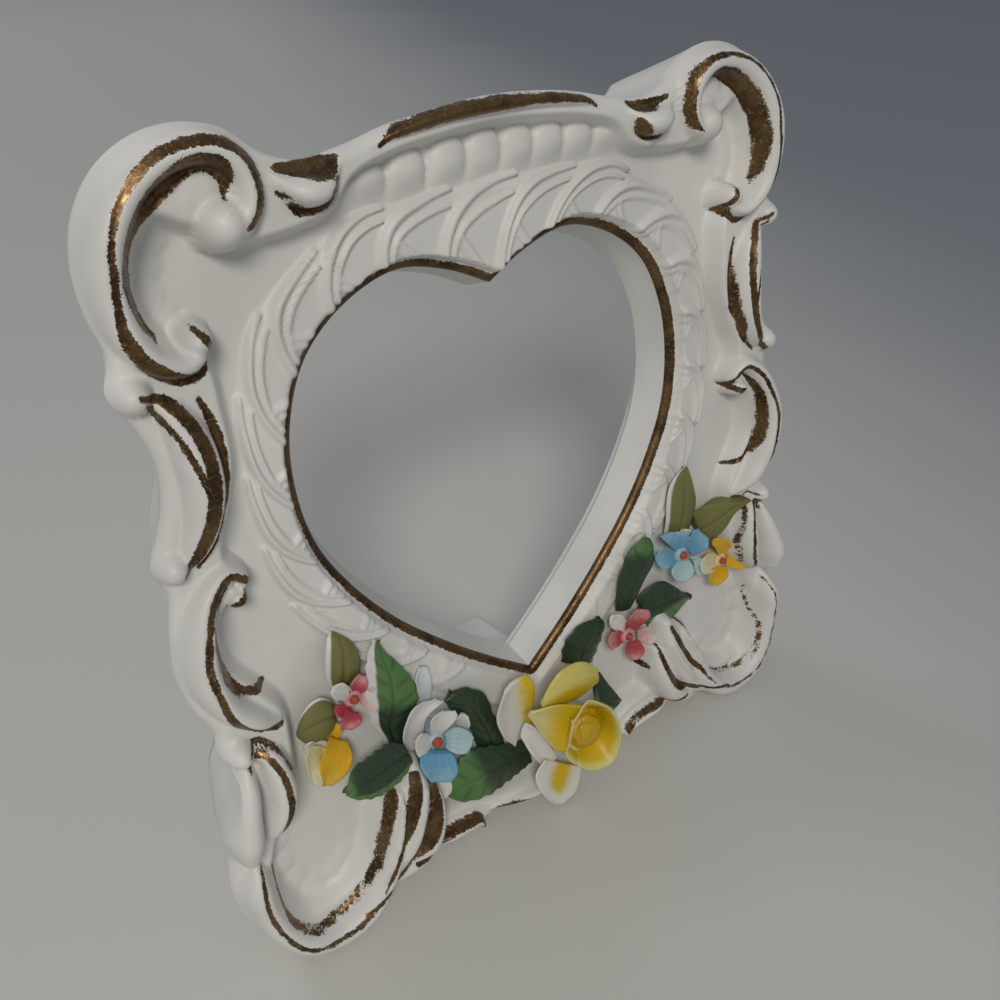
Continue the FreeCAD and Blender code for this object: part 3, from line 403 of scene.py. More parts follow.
def pointed_ring(rows: Rows, step: float) -> Array:
    """A closed ring whose two halves meet at sharp corners on the middle line.

    Args:
        rows: Rows of x and z of the left half.
        step: Distance between the places that come back, in millimetres.

    Returns:
        Rows of x and z round the ring.
    """
    left = smooth_curve(rows, step)
    right = left[::-1] * np.array([-1.0, 1.0])
    return np.vstack([left, right[1:-1]])


def ring_distance(ring: Array, x: Array, z: Array) -> Array:
    """Distance of each place to a closed ring of x and z."""
    return nearest(np.vstack([ring, ring[:1]]), x, z)[0]


def polar_radius(ring: Array, angles: Array) -> Array:
    """Distance from the middle to a ring in each direction.

    Args:
        ring: Rows of x and z round a closed ring that every ray crosses once.
        angles: Directions in radians, anticlockwise from the right.

    Returns:
        One radius for each direction.
    """
    bearing = np.arctan2(ring[:, 1], ring[:, 0]) % (2.0 * math.pi)
    reach = np.hypot(ring[:, 0], ring[:, 1])
    order = np.argsort(bearing)
    return np.interp(angles, bearing[order], reach[order], period=2.0 * math.pi)


def inside(ring: Array, x: Array, z: Array) -> Array:
    """Whether each place lies inside a closed ring.

    Args:
        ring: Rows of x and z.
        x: Places to the right.
        z: Places up the face.

    Returns:
        True or False for each place.
    """
    result = np.zeros(x.shape, bool)
    following = np.roll(ring, -1, axis=0)
    for (xa, za), (xb, zb) in zip(ring[:, :2], following[:, :2]):
        if za == zb:
            continue
        crosses = (za > z) != (zb > z)
        result ^= crosses & (x < (xb - xa) * (z - za) / (zb - za) + xa)
    return result


def make_piece(name: str, points: Array, faces: Faces, masks: dict[str, Array],
               material: Material, nodes: tuple[str, ...]) -> Piece:
    """A finished piece: a smooth mesh in the part's frame, dressed and placed on the body.

    Args:
        name: The piece's name.
        points: Rows of metres in the part's own frame.
        faces: Corner indices of each face.
        masks: Values for each point, that the finish reads by name.
        material: The finish.
        nodes: CAD nodes that the piece stands for.

    Returns:
        The new object.
    """
    mesh = bpy.data.meshes.new(name)
    mesh.from_pydata(points.tolist(), [], faces)
    shaper = bmesh.new()
    shaper.from_mesh(mesh)
    bmesh.ops.recalc_face_normals(shaper, faces=shaper.faces)
    shaper.to_mesh(mesh)
    shaper.free()
    mesh.polygons.foreach_set("use_smooth", np.ones(len(mesh.polygons), bool))
    for mask, values in masks.items():
        layer = mesh.attributes.new(mask, "FLOAT", "POINT")
        layer.data.foreach_set("value", np.asarray(values, np.float32))
    mesh.materials.append(material)
    piece = bpy.data.objects.new(name, mesh)
    bpy.context.scene.collection.objects.link(piece)
    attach(piece, BODY)
    if nodes:
        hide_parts(*nodes)
    log.info("%s: %d points, %d faces", name, len(points), len(faces))
    return piece


def grid_faces(columns: int, rings: int, wrap_columns: bool, wrap_rings: bool) -> Faces:
    """Four sided faces of a grid whose point (column, ring) has index column * rings + ring.

    Args:
        columns: Number of columns.
        rings: Number of points in each column.
        wrap_columns: Whether the last column joins the first.
        wrap_rings: Whether the last point of a column joins its first.

    Returns:
        Corner indices of each face.
    """
    faces = []
    for column in range(columns if wrap_columns else columns - 1):
        beside = (column + 1) % columns
        for ring in range(rings if wrap_rings else rings - 1):
            above = (ring + 1) % rings
            faces.append((column * rings + ring, beside * rings + ring,
                          beside * rings + above, column * rings + above))
    return faces


@dataclass
class CastBody:
    """The bisque casting: scrolled border, dished field, arcade round the heart, and back.

    Lengths are millimetres. A rise counts forward from the opening's rim, and a depth back
    from it. A pair of places is where a change begins and where it is complete.
    """

    columns: int = 872
    rim_rings: int = 8
    face_rings: int = 82
    rim_spread: float = 1.15
    rim_crowding: float = 1.5
    face_crowding: float = 0.92
    edge_gap: float = 0.10
    ring_step: float = 0.6
    border_step: float = 1.5

    field_rise: float = 3.0
    shoulder_rise: float = 8.0
    shoulder_span: Pair = (-1.8, 1.2)
    round_over: float = 2.6
    round_span: Pair = (-1.0, 2.0)
    bump_root: float = 1.0
    band_step: float = 1.0
    band_reach: float = 6.0
    band_power: float = 2.5
    band_blend: float = 0.7
    ball_power: float = 2.3
    ball_blend: float = 0.5

    rim_width: float = 2.4
    rim_height: float = 1.9
    rim_blend: float = 0.5
    rim_line_middle: float = 0.70
    rim_line_half: float = 1.05
    line_step: float = 0.8
    line_reach: float = 3.5
    line_groove: Pair = (-0.7, 0.25)
    right_line_share: float = 0.66
    right_fade: Pair = (0.0, 10.0)

    collar: float = 1.2
    collar_edge: Pair = (0.86, 1.04)
    arch_pitch: float = 13.0
    arch_count: int = 26
    arch_back: float = 4.0
    arch_reach: float = 20.5
    arch_share: float = 1.3
    arcade_fade: Pair = (-46.0, -24.0)
    rib_spread: float = 1.25
    rib_power: float = 1.4

    flute_middles: tuple[float, ...] = (-30.5, -26.0, -17.5, -8.3, -0.2, 7.6, 15.3, 23.0, 30.5)
    flute_half: float = 4.3
    flute_top: float = 80.6
    flute_drop: float = 0.0028
    flute_curl: float = 0.012
    flute_lift: float = 2.1
    flute_foot: Pair = (69.5, 75.5)
    shell_lift: float = 0.55

    half_heart: float = 50.1
    draft: float = 2.0
    seat_outset: float = 1.0
    seat_depth: float = 8.5
    corner: float = 0.35
    brow: Pair = (-0.15, -0.7)
    back_depth: float = 12.0
    back_inset: float = 4.0
    calm_width: int = 61
    flank_bow: float = 0.9
    flank_parts: tuple[float, ...] = (0.10, 0.22, 0.38, 0.55, 0.72, 0.86, 0.95, 1.0)
    back_parts: tuple[float, ...] = (0.02, 0.12, 0.5, 0.9, 0.98)

    def heart_edge(self) -> Array:
        """The heart opening's ring."""
        return pointed_ring(HEART, self.ring_step)

    def relief(self, x: Array, z: Array, arcade: tuple[Array, Array, Array]) -> tuple[Array, Array]:
        """Rise and gilding of the front face.

        Args:
            x: Places to the right.
            z: Places up the face.
            arcade: Run along the arcade, share across it, and its local breadth.

        Returns:
            The rise of each place, and its signed distance to the gilt lines.
        """
        left = -np.abs(x)
        field_ring = smooth_curve(mirrored(FIELD), self.border_step, closed=True)
        to_field = ring_distance(field_ring, x, z)
        beyond = np.where(inside(field_ring, x, z), -to_field, to_field)
        to_outline = ring_distance(smooth_curve(mirrored(OUTLINE), self.border_step, closed=True), x, z)

        rise = self.field_rise + (self.shoulder_rise - self.field_rise) * ease(*self.shoulder_span, beyond)
        rise += self.collar * (1.0 - ease(*self.collar_edge, arcade[1]))
        rise = self.add_flutes(rise, x, z)
        rise += (self.add_arcade(rise, *arcade) - rise) * ease(*self.arcade_fade, z)
        rise = self.add_shells(rise, left, z)
        rounding = dome(np.clip(self.round_over - to_outline, 0.0, None), self.round_over)
        rise -= self.round_over * (1.0 - rounding) * ease(*self.round_span, beyond)
        for band in BANDS:
            rise = self.add_band(rise, band, left, z)
        for ball_x, ball_z, radius, top in BALLS:
            away = np.hypot(left - ball_x, z - ball_z)
            bump = self.bump_root + (top - self.bump_root) * dome(away, radius, self.ball_power)
            rise = np.where(away < radius, soft_max(rise, bump, self.ball_blend), rise)
        return self.add_gilding(rise, x, z)

    def add_gilding(self, rise: Array, x: Array, z: Array) -> tuple[Array, Array]:
        """Sinks the gilt lines into the face and lays the gilt rim round the heart.

        Args:
            rise: Rise of each place so far.
            x: Places to the right.
            z: Places up the face.

        Returns:
            The rise of each place, and its signed distance to the gilt lines.
        """
        gilt = np.full(x.shape, FAR_FROM_GILT)
        line_share = 1.0 - (1.0 - self.right_line_share) * ease(*self.right_fade, x)
        for stroke in STROKES:
            middle = smooth_curve(stroke.rows, self.line_step)
            away, rows = nearest(middle, -np.abs(x), z, reach=self.line_reach)
            reach = np.where(np.isfinite(away), away - rows[:, 2] * line_share, FAR_FROM_GILT)
            rise -= stroke.sunk * (1.0 - ease(*self.line_groove, reach))
            gilt = np.minimum(gilt, reach)
        to_heart = ring_distance(self.heart_edge(), x, z)
        lip = self.rim_height * dome(np.clip(self.rim_width - to_heart, 0.0, None), self.rim_width)
        near_lip = ease(self.rim_width - self.rim_blend, self.rim_width + self.rim_blend, to_heart)
        beside = rise * near_lip + (1 - near_lip) * self.rim_height
        rise = np.where(to_heart < self.rim_width, np.minimum(rise, lip), beside)
        gilt = np.minimum(gilt, np.abs(to_heart - self.rim_line_middle) - self.rim_line_half)
        return rise, gilt

    def add_band(self, rise: Array, band: Band, left: Array, z: Array) -> Array:
        """Lays one raised band of a rounded section over the face.

        Args:
            rise: Rise of each place so far.
            band: The band.
            left: Places to the right, mirrored to the left half.
            z: Places up the face.

        Returns:
            The rise with the band.
        """
        away, rows = nearest(smooth_curve(band.rows, self.band_step), left, z, reach=self.band_reach)
        half = np.maximum(rows[:, 2], LEAST_HALF)
        broadest = max(row[2] for row in band.rows)
        tall = (band.crest - self.bump_root) * np.sqrt(half / broadest)
        outside = 2.0
        section = dome(np.where(np.isfinite(away), away / half, outside), 1.0, self.band_power)
        return np.where(away < half, soft_max(rise, self.bump_root + tall * section, self.band_blend), rise)

    def add_flutes(self, rise: Array, x: Array, z: Array) -> Array:
        """Adds the rounded flutes between the arcade and the arch at the top.

        Args:
            rise: Rise of each place so far.
            x: Places to the right.
            z: Places up the face.

        Returns:
            The rise with the flutes.
        """
        for middle in self.flute_middles:
            top = self.flute_top - self.flute_drop * middle * middle
            lean_x = x + self.flute_curl * np.clip(top - z, 0.0, None) ** 2
            centre = top - self.flute_half
            away = np.hypot(lean_x - middle, np.clip(z - centre, 0.0, None))
            lift = self.flute_lift * dome(away, self.flute_half) * ease(*self.flute_foot, z)
            rise = np.where(away < self.flute_half, np.maximum(rise, self.field_rise + lift), rise)
        return rise

    def add_arcade(self, rise: Array, run: Array, share: Array, breadth: Array) -> Array:
        """Adds the overlapping double ribbed arches that stand on the heart's rim.

        Args:
            rise: Rise of each place so far.
            run: How far along the arcade each place lies.
            share: How far across it, from 0 at the heart to 1 at the envelope.
            breadth: The arcade's local breadth.

        Returns:
            The rise with the arches.
        """
        lift = np.zeros(run.shape)
        length = self.arch_pitch * self.arch_count
        for rib in RIBS:
            curve = smooth_curve(rib.rows, rib.step)
            for index in range(self.arch_count):
                offset = (run - index * self.arch_pitch + self.arch_back) % length - self.arch_back
                close = np.nonzero((offset < self.arch_reach) & (share < self.arch_share))[0]
                away = np.full(close.shape, np.inf)
                half = np.zeros(close.shape)
                for first, second in zip(curve[:-1], curve[1:]):
                    run_x = second[0] - first[0]
                    run_y = (second[1] - first[1]) * breadth[close]
                    to_x = offset[close] - first[0]
                    to_y = (share[close] - first[1]) * breadth[close]
                    part = np.clip((to_x * run_x + to_y * run_y) / (run_x**2 + run_y**2), 0.0, 1.0)
                    gap = np.hypot(to_x - part * run_x, to_y - part * run_y)
                    closer = gap < away
                    away = np.where(closer, gap, away)
                    half = np.where(closer, first[2] + part * (second[2] - first[2]), half)
                section = 1.0 - (away / np.maximum(half * self.rib_spread, LEAST_HALF)) ** 2
                fresh = rib.lift * np.clip(section, 0.0, 1.0) ** self.rib_power
                lift[close] = np.maximum(lift[close], fresh)
        return rise + lift

    def add_shells(self, rise: Array, left: Array, z: Array) -> Array:
        """Adds the faint scallops inside the corners and the lower lobes.

        Args:
            rise: Rise of each place so far.
            left: Places to the right, mirrored to the left half.
            z: Places up the face.

        Returns:
            The rise with the scallops.
        """
        for middle_x, middle_z, radius in SCALLOPS:
            away = np.hypot(left - middle_x, z - middle_z)
            rise = rise + self.shell_lift * dome(away, radius) * (away < radius)
        return rise

    def arcade_places(self, turn: tuple[Array, Array], radius: Array,
                      edges: tuple[Array, Array]) -> tuple[Array, Array, Array]:
        """Where each place of the face lies in the arcade.

        Args:
            turn: Cosine and sine of each column's direction.
            radius: Radius of each place, by column and ring.
            edges: Radius of the heart and of the arcade's envelope in each direction.

        Returns:
            Run along the arcade, share across it, and its local breadth, for each place.
        """
        cosine, sine = turn
        heart_radius, envelope_radius = edges
        count = radius.shape[1]
        middle_radius = (heart_radius + envelope_radius) / 2.0
        ring = np.stack([middle_radius * cosine, middle_radius * sine], axis=-1)
        steps = np.linalg.norm(ring - np.roll(ring, 1, axis=0), axis=1)
        steps[0] = 0.0
        along = -np.cumsum(steps)
        scale = self.arch_pitch * self.arch_count / (steps.sum() + np.linalg.norm(ring[0] - ring[-1]))
        run = np.repeat(along * scale, count)
        share = ((radius - heart_radius[:, None]) / (envelope_radius - heart_radius)[:, None]).ravel()
        step = np.roll(ring, -1, axis=0) - np.roll(ring, 1, axis=0)
        upright = np.abs(step[:, 0] * sine - step[:, 1] * cosine) / np.linalg.norm(step, axis=1)
        breadth = np.repeat((envelope_radius - heart_radius) * upright, count)
        return run, share, breadth

    def build(self, material: Material) -> Piece:
        """Makes the casting as one closed grid round the heart.

        Args:
            material: The body's finish.

        Returns:
            The casting.
        """
        angles = np.linspace(0.0, 2.0 * math.pi, self.columns, endpoint=False) + math.pi / 2.0
        angles %= 2.0 * math.pi
        turn = np.cos(angles), np.sin(angles)
        heart_radius = polar_radius(self.heart_edge(), angles)
        outline_radius, envelope_radius = (
            polar_radius(smooth_curve(mirrored(rows), self.ring_step, closed=True), angles)
            for rows in (OUTLINE, ENVELOPE))

        rim_shares = np.linspace(0.0, 1.0, self.rim_rings) ** self.rim_crowding
        rim_steps = self.rim_width * self.rim_spread * rim_shares
        shares = np.linspace(0.0, 1.0, self.face_rings + 1)[1:] ** self.face_crowding
        start = rim_steps[-1]
        rest = (outline_radius - heart_radius - start - self.edge_gap)[:, None] * shares
        radius = np.concatenate([heart_radius[:, None] + rim_steps, heart_radius[:, None] + start + rest,
                                 outline_radius[:, None]], axis=1)
        x, z = ((radius * part[:, None]).ravel() for part in turn)
        rise, gilt = self.relief(x, z, self.arcade_places(turn, radius, (heart_radius, envelope_radius)))
        face = radius, rise.reshape(radius.shape), gilt.reshape(radius.shape)
        return self.close_up(material, turn, face, (heart_radius, outline_radius))

    def wall(self, heart_radius: Array) -> list[tuple[Array, Array]]:
        """Rings of the opening's wall, from the back over the picture seat to the rim.

        Args:
            heart_radius: Radius of the heart in each direction.

        Returns:
            The radius and level of each ring.
        """
        seat, back = -self.seat_depth, -self.back_depth
        steps = ((self.seat_outset, back), (self.seat_outset, back + self.corner),
                 (self.seat_outset, seat - self.corner), (self.seat_outset, seat),
                 (self.seat_outset - self.corner, seat), (self.corner - self.draft, seat),
                 (-self.draft, seat), (-self.draft, seat + self.corner),
                 (-self.draft * 0.5, seat * 0.5), self.brow)
        return [(heart_radius * (1.0 + outset / self.half_heart), np.full(self.columns, level))
                for outset, level in steps]

    def flank_and_back(self, outline_radius: Array, edge_rise: Array,
                       inner: Array) -> list[tuple[Array, Array]]:
        """Rings from the face's edge round the flank and over the flat back.

        Args:
            outline_radius: Radius of the outline in each direction.
            edge_rise: Rise of the face's edge in each direction.
            inner: Radius at which the back meets the opening's wall.

        Returns:
            The radius and level of each ring.
        """
        window = np.hanning(self.calm_width)
        window /= window.sum()
        margin = self.calm_width // 2
        padded = np.concatenate([outline_radius[-margin:], outline_radius, outline_radius[:margin]])
        outer = np.minimum(np.convolve(padded, window, mode="valid"), outline_radius) - self.back_inset
        rings = []
        for part in self.flank_parts:
            bow = part**self.flank_bow
            level = edge_rise + (-self.back_depth - edge_rise) * part
            rings.append((outline_radius * (1.0 - bow) + outer * bow, level))
        for share in self.back_parts:
            rings.append((outer + (inner - outer) * share, np.full(self.columns, -self.back_depth)))
        return rings

    def close_up(self, material: Material, turn: tuple[Array, Array],
                 face: tuple[Array, Array, Array], edges: tuple[Array, Array]) -> Piece:
        """Adds the opening's wall, the picture seat, the flank and the back, and makes the mesh.

        Args:
            material: The body's finish.
            turn: Cosine and sine of each column's direction.
            face: Radius, rise and gilding of the front face, by column and ring.
            edges: Radius of the heart and of the outline in each direction.

        Returns:
            The casting.
        """
        radius, rise, gilt = face
        heart_radius, outline_radius = edges
        wall = self.wall(heart_radius)
        flank = self.flank_and_back(outline_radius, rise[:, -1], wall[0][0])
        wall_radius, wall_level = (np.stack(rings, axis=1) for rings in zip(*wall))
        flank_radius, flank_level = (np.stack(rings, axis=1) for rings in zip(*flank))
        all_radius = np.concatenate([wall_radius, radius, flank_radius], axis=1)
        all_rise = np.concatenate([wall_level, rise, flank_level], axis=1)
        all_gilt = np.full(all_radius.shape, FAR_FROM_GILT)
        all_gilt[:, len(wall):len(wall) + gilt.shape[1]] = gilt
        x, z = ((all_radius * part[:, None]).ravel() for part in turn)
        points = PLANE.world(x, z, all_rise.ravel())
        points[:, 2] = np.maximum(points[:, 2], 0.0)
        faces = grid_faces(self.columns, all_radius.shape[1], True, True)
        masks = {"gilt": all_gilt.ravel()}
        return make_piece("frame_casting", points, faces, masks, material, ("frame_body",))


@dataclass(frozen=True)
class Look:
    """How paint lies on a petal: cover at the root and tip, and how deep its colour is there."""

    cover: Pair
    deep: Pair
    streak: float = 0.0
    side: float = 0.0


class Tint(Enum):
    """Paint looks of petals."""

    PINK = Look((1.0, 0.85), (1.0, 0.35))
    PALE_PINK = Look((0.75, 0.2), (0.3, 0.0))
    MAUVE = Look((1.0, 0.9), (1.0, 0.9))
    GOLD = Look((1.0, 1.0), (1.0, 0.75))
    PALE_YELLOW = Look((0.75, 0.35), (0.1, 0.0))
    BLUE = Look((1.0, 0.95), (0.9, 0.6))
    PALE_BLUE = Look((0.95, 0.75), (0.15, 0.0))
    ICE = Look((0.5, 0.3), (0.0, 0.0))
    WHITE = Look((0.12, 0.0), (0.0, 0.0))
    GREY_WHITE = Look((0.0, 0.0), (0.0, 0.0))
    ROSE_BACK = Look((1.0, 0.95), (0.75, 0.7), side=0.6)
    ROSE_FRONT = Look((1.0, 0.65), (1.0, 0.0))
    ROSE_EDGE = Look((0.1, 0.1), (0.2, 0.2), side=-0.75)
    ROSE_STREAK = Look((0.2, 0.05), (0.2, 0.0), streak=1.0)


class LeafKind(Enum):
    """The two paints of the leaves, named by the record's slots."""

    OLIVE = "olive_leaf"
    DARK = "dark_leaf"


@dataclass(frozen=True)
class Petal:
    """A petal between two edges: rows of x, z of one edge, x, z of the other, and the rise.

    Rows of six give each edge its own rise after its x and z.
    """

    tint: Tint
    rows: Rows
    cup: float = 0.7
    thickness: float = 0.8


@dataclass(frozen=True)
class Leaf:
    """A leaf between two edges, with its midrib, side veins, teeth and unpainted parts."""

    name: str
    kind: LeafKind
    rows: Rows
    cup: float = -1.0
    groove: float = 0.5
    veins: int = 0
    teeth: int = 0
    notch: float = 0.0
    bare: float = 0.0
    light_from: float = 2.0
    light_side: float = 0.0
    ground: float = 3.0


@dataclass(frozen=True)
class Sector:
    """A wrapped petal of the rose's cup: its first and last bearing in degrees."""

    name: str
    first: float
    last: float
    thickness: float


@dataclass(frozen=True)
class Flower:
    """A small pinched flower: its slot, its button's x, z, rise and radius, and its petals."""

    name: str
    slot: str
    button: tuple[float, float, float, float]
    petals: tuple[Petal, ...]


LEAVES: tuple[Leaf, ...] = (
    Leaf("olive_leaf_left_upper", LeafKind.OLIVE, (
        (-54.2, -24.5, -49.5, -26.3, 4.6), (-54.8, -20.3, -47.8, -23.6, 5.6),
        (-54.5, -15.6, -47.1, -19.6, 6.6), (-53.6, -11.6, -47.4, -15.5, 7.0),
        (-52.6, -10.0, -48.8, -12.2, 6.4), (-51.4, -9.7, -51.0, -9.9, 5.6)),
        cup=-1.2, groove=0.55, notch=1.6, bare=0.13),
    Leaf("olive_leaf_left_lower", LeafKind.OLIVE, (
        (-53.7, -29.9, -54.2, -33.5, 4.6), (-55.2, -25.8, -56.2, -33.9, 6.0),
        (-57.6, -23.3, -58.7, -34.1, 6.8), (-60.6, -24.0, -61.2, -33.6, 6.8),
        (-62.8, -26.9, -62.9, -33.0, 6.2), (-63.9, -30.4, -63.7, -31.7, 5.4)),
        cup=-1.2, groove=0.5, notch=0.8, bare=0.05),
    Leaf("dark_leaf_left_upper", LeafKind.DARK, (
        (-43.7, -50.3, -40.3, -51.5, 4.4), (-44.9, -45.0, -39.6, -46.8, 5.0),
        (-47.1, -37.6, -39.0, -42.0, 5.8), (-47.6, -31.3, -35.9, -38.2, 6.6),
        (-47.3, -25.9, -35.6, -33.7, 7.0), (-46.2, -21.5, -36.6, -28.8, 7.0),
        (-45.0, -18.9, -38.9, -23.8, 6.6), (-43.3, -17.3, -40.8, -20.2, 5.8),
        (-42.0, -17.2, -41.4, -18.1, 5.2)),
        cup=-1.0, groove=0.6, veins=7, teeth=9, bare=0.2, light_from=0.5),
    Leaf("dark_leaf_left_lower", LeafKind.DARK, (
        (-42.1, -44.4, -40.8, -50.5, 9.6), (-45.6, -40.9, -43.7, -52.3, 10.4),
        (-49.1, -40.8, -47.3, -53.3, 10.8), (-52.5, -41.5, -51.2, -53.4, 10.8),
        (-55.3, -42.3, -54.5, -52.2, 10.6), (-56.9, -45.3, -56.7, -50.7, 10.2),
        (-57.8, -48.4, -57.8, -49.3, 9.8)),
        cup=-0.8, groove=0.7, veins=7, teeth=7, light_side=0.2, light_from=0.86, ground=8.2),
    Leaf("dark_leaf_centre_upper", LeafKind.DARK, (
        (-20.8, -64.1, -12.5, -68.1, 4.4), (-22.1, -56.3, -13.8, -58.8, 5.2),
        (-24.5, -49.6, -16.2, -52.1, 6.2), (-27.1, -45.1, -17.6, -46.1, 6.8),
        (-28.6, -42.1, -20.7, -42.1, 6.8), (-28.5, -40.9, -24.7, -40.1, 6.4),
        (-27.7, -40.7, -26.4, -40.2, 6.0)),
        cup=-1.3, groove=0.4, veins=6, teeth=5, light_from=2.0),
    Leaf("dark_leaf_centre_lower", LeafKind.DARK, (
        (-7.1, -68.3, -5.3, -77.2, 5.0), (-13.6, -64.8, -10.1, -76.9, 6.0),
        (-19.6, -61.1, -15.2, -76.8, 6.8), (-25.0, -59.3, -20.9, -76.8, 7.2),
        (-28.6, -61.3, -26.3, -75.2, 7.2), (-30.9, -65.1, -30.0, -72.9, 6.8),
        (-32.3, -68.7, -32.0, -70.6, 6.2)),
        cup=-1.3, groove=0.5, veins=6, teeth=8, light_from=0.62),
    Leaf("dark_leaf_by_point", LeafKind.DARK, (
        (7.5, -50.7, 17.4, -56.1, 4.6), (7.3, -45.9, 18.4, -51.9, 5.8), (8.6, -42.3, 19.4, -48.3, 6.6),
        (11.7, -40.5, 20.5, -46.0, 6.6), (15.9, -41.0, 21.5, -44.8, 6.0), (19.7, -42.6, 21.4, -43.8, 5.4)),
        cup=-1.2, groove=0.5, veins=6, teeth=4, light_side=0.12, light_from=2.0),
    Leaf("small_leaf_by_rose", LeafKind.DARK, (
        (20.0, -61.0, 18.2, -66.9, 4.6), (21.6, -64.9, 17.0, -69.3, 5.4), (24.0, -69.5, 19.7, -73.1, 5.8),
        (26.7, -74.3, 24.0, -76.7, 5.4), (29.0, -77.9, 27.8, -78.3, 4.8)),
        cup=-0.6, groove=0.4, veins=4, light_side=0.3, light_from=2.0),
    Leaf("green_leaf_right_upper", LeafKind.DARK, (
        (26.5, -43.7, 31.8, -45.4, 4.8), (26.0, -38.1, 33.4, -41.0, 6.0), (26.1, -32.6, 35.2, -36.5, 7.0),
        (28.0, -28.3, 37.8, -32.8, 7.4), (30.4, -25.5, 38.4, -29.4, 7.2), (33.4, -24.4, 38.7, -27.3, 6.6),
        (37.0, -24.8, 38.4, -25.7, 5.8)),
        cup=-1.4, groove=0.4, veins=5, light_from=0.78),
    Leaf("green_leaf_right_lower", LeafKind.DARK, (
        (34.1, -43.2, 37.8, -55.2, 4.8), (37.8, -40.8, 42.8, -55.3, 6.0), (41.7, -40.4, 46.1, -54.3, 6.6),
        (46.4, -44.3, 49.5, -52.9, 6.4), (51.1, -49.3, 52.7, -52.5, 5.6), (54.5, -52.7, 54.9, -53.2, 5.0)),
        cup=-1.2, groove=0.6, veins=5, light_side=0.4, light_from=2.0),
    Leaf("olive_leaf_right_upper", LeafKind.OLIVE, (
        (44.4, -27.8, 53.5, -30.7, 4.8), (44.1, -21.9, 54.2, -25.4, 6.0), (43.7, -16.0, 54.4, -20.2, 6.8),
        (44.9, -12.3, 53.6, -16.0, 6.8), (48.0, -10.2, 53.1, -12.7, 6.2), (51.7, -9.6, 52.8, -10.3, 5.4)),
        cup=-1.3, groove=0.45, bare=0.1),
    Leaf("olive_leaf_right_lower", LeafKind.OLIVE, (
        (53.8, -24.3, 59.3, -35.9, 6.0), (55.6, -22.1, 61.3, -33.6, 8.6), (59.0, -21.6, 62.8, -30.3, 10.4),
        (62.5, -22.1, 64.2, -26.5, 11.8), (66.2, -23.4, 66.7, -25.1, 12.4),
        (69.4, -23.8, 69.8, -24.3, 12.8)),
        cup=-1.0, groove=0.5),
)
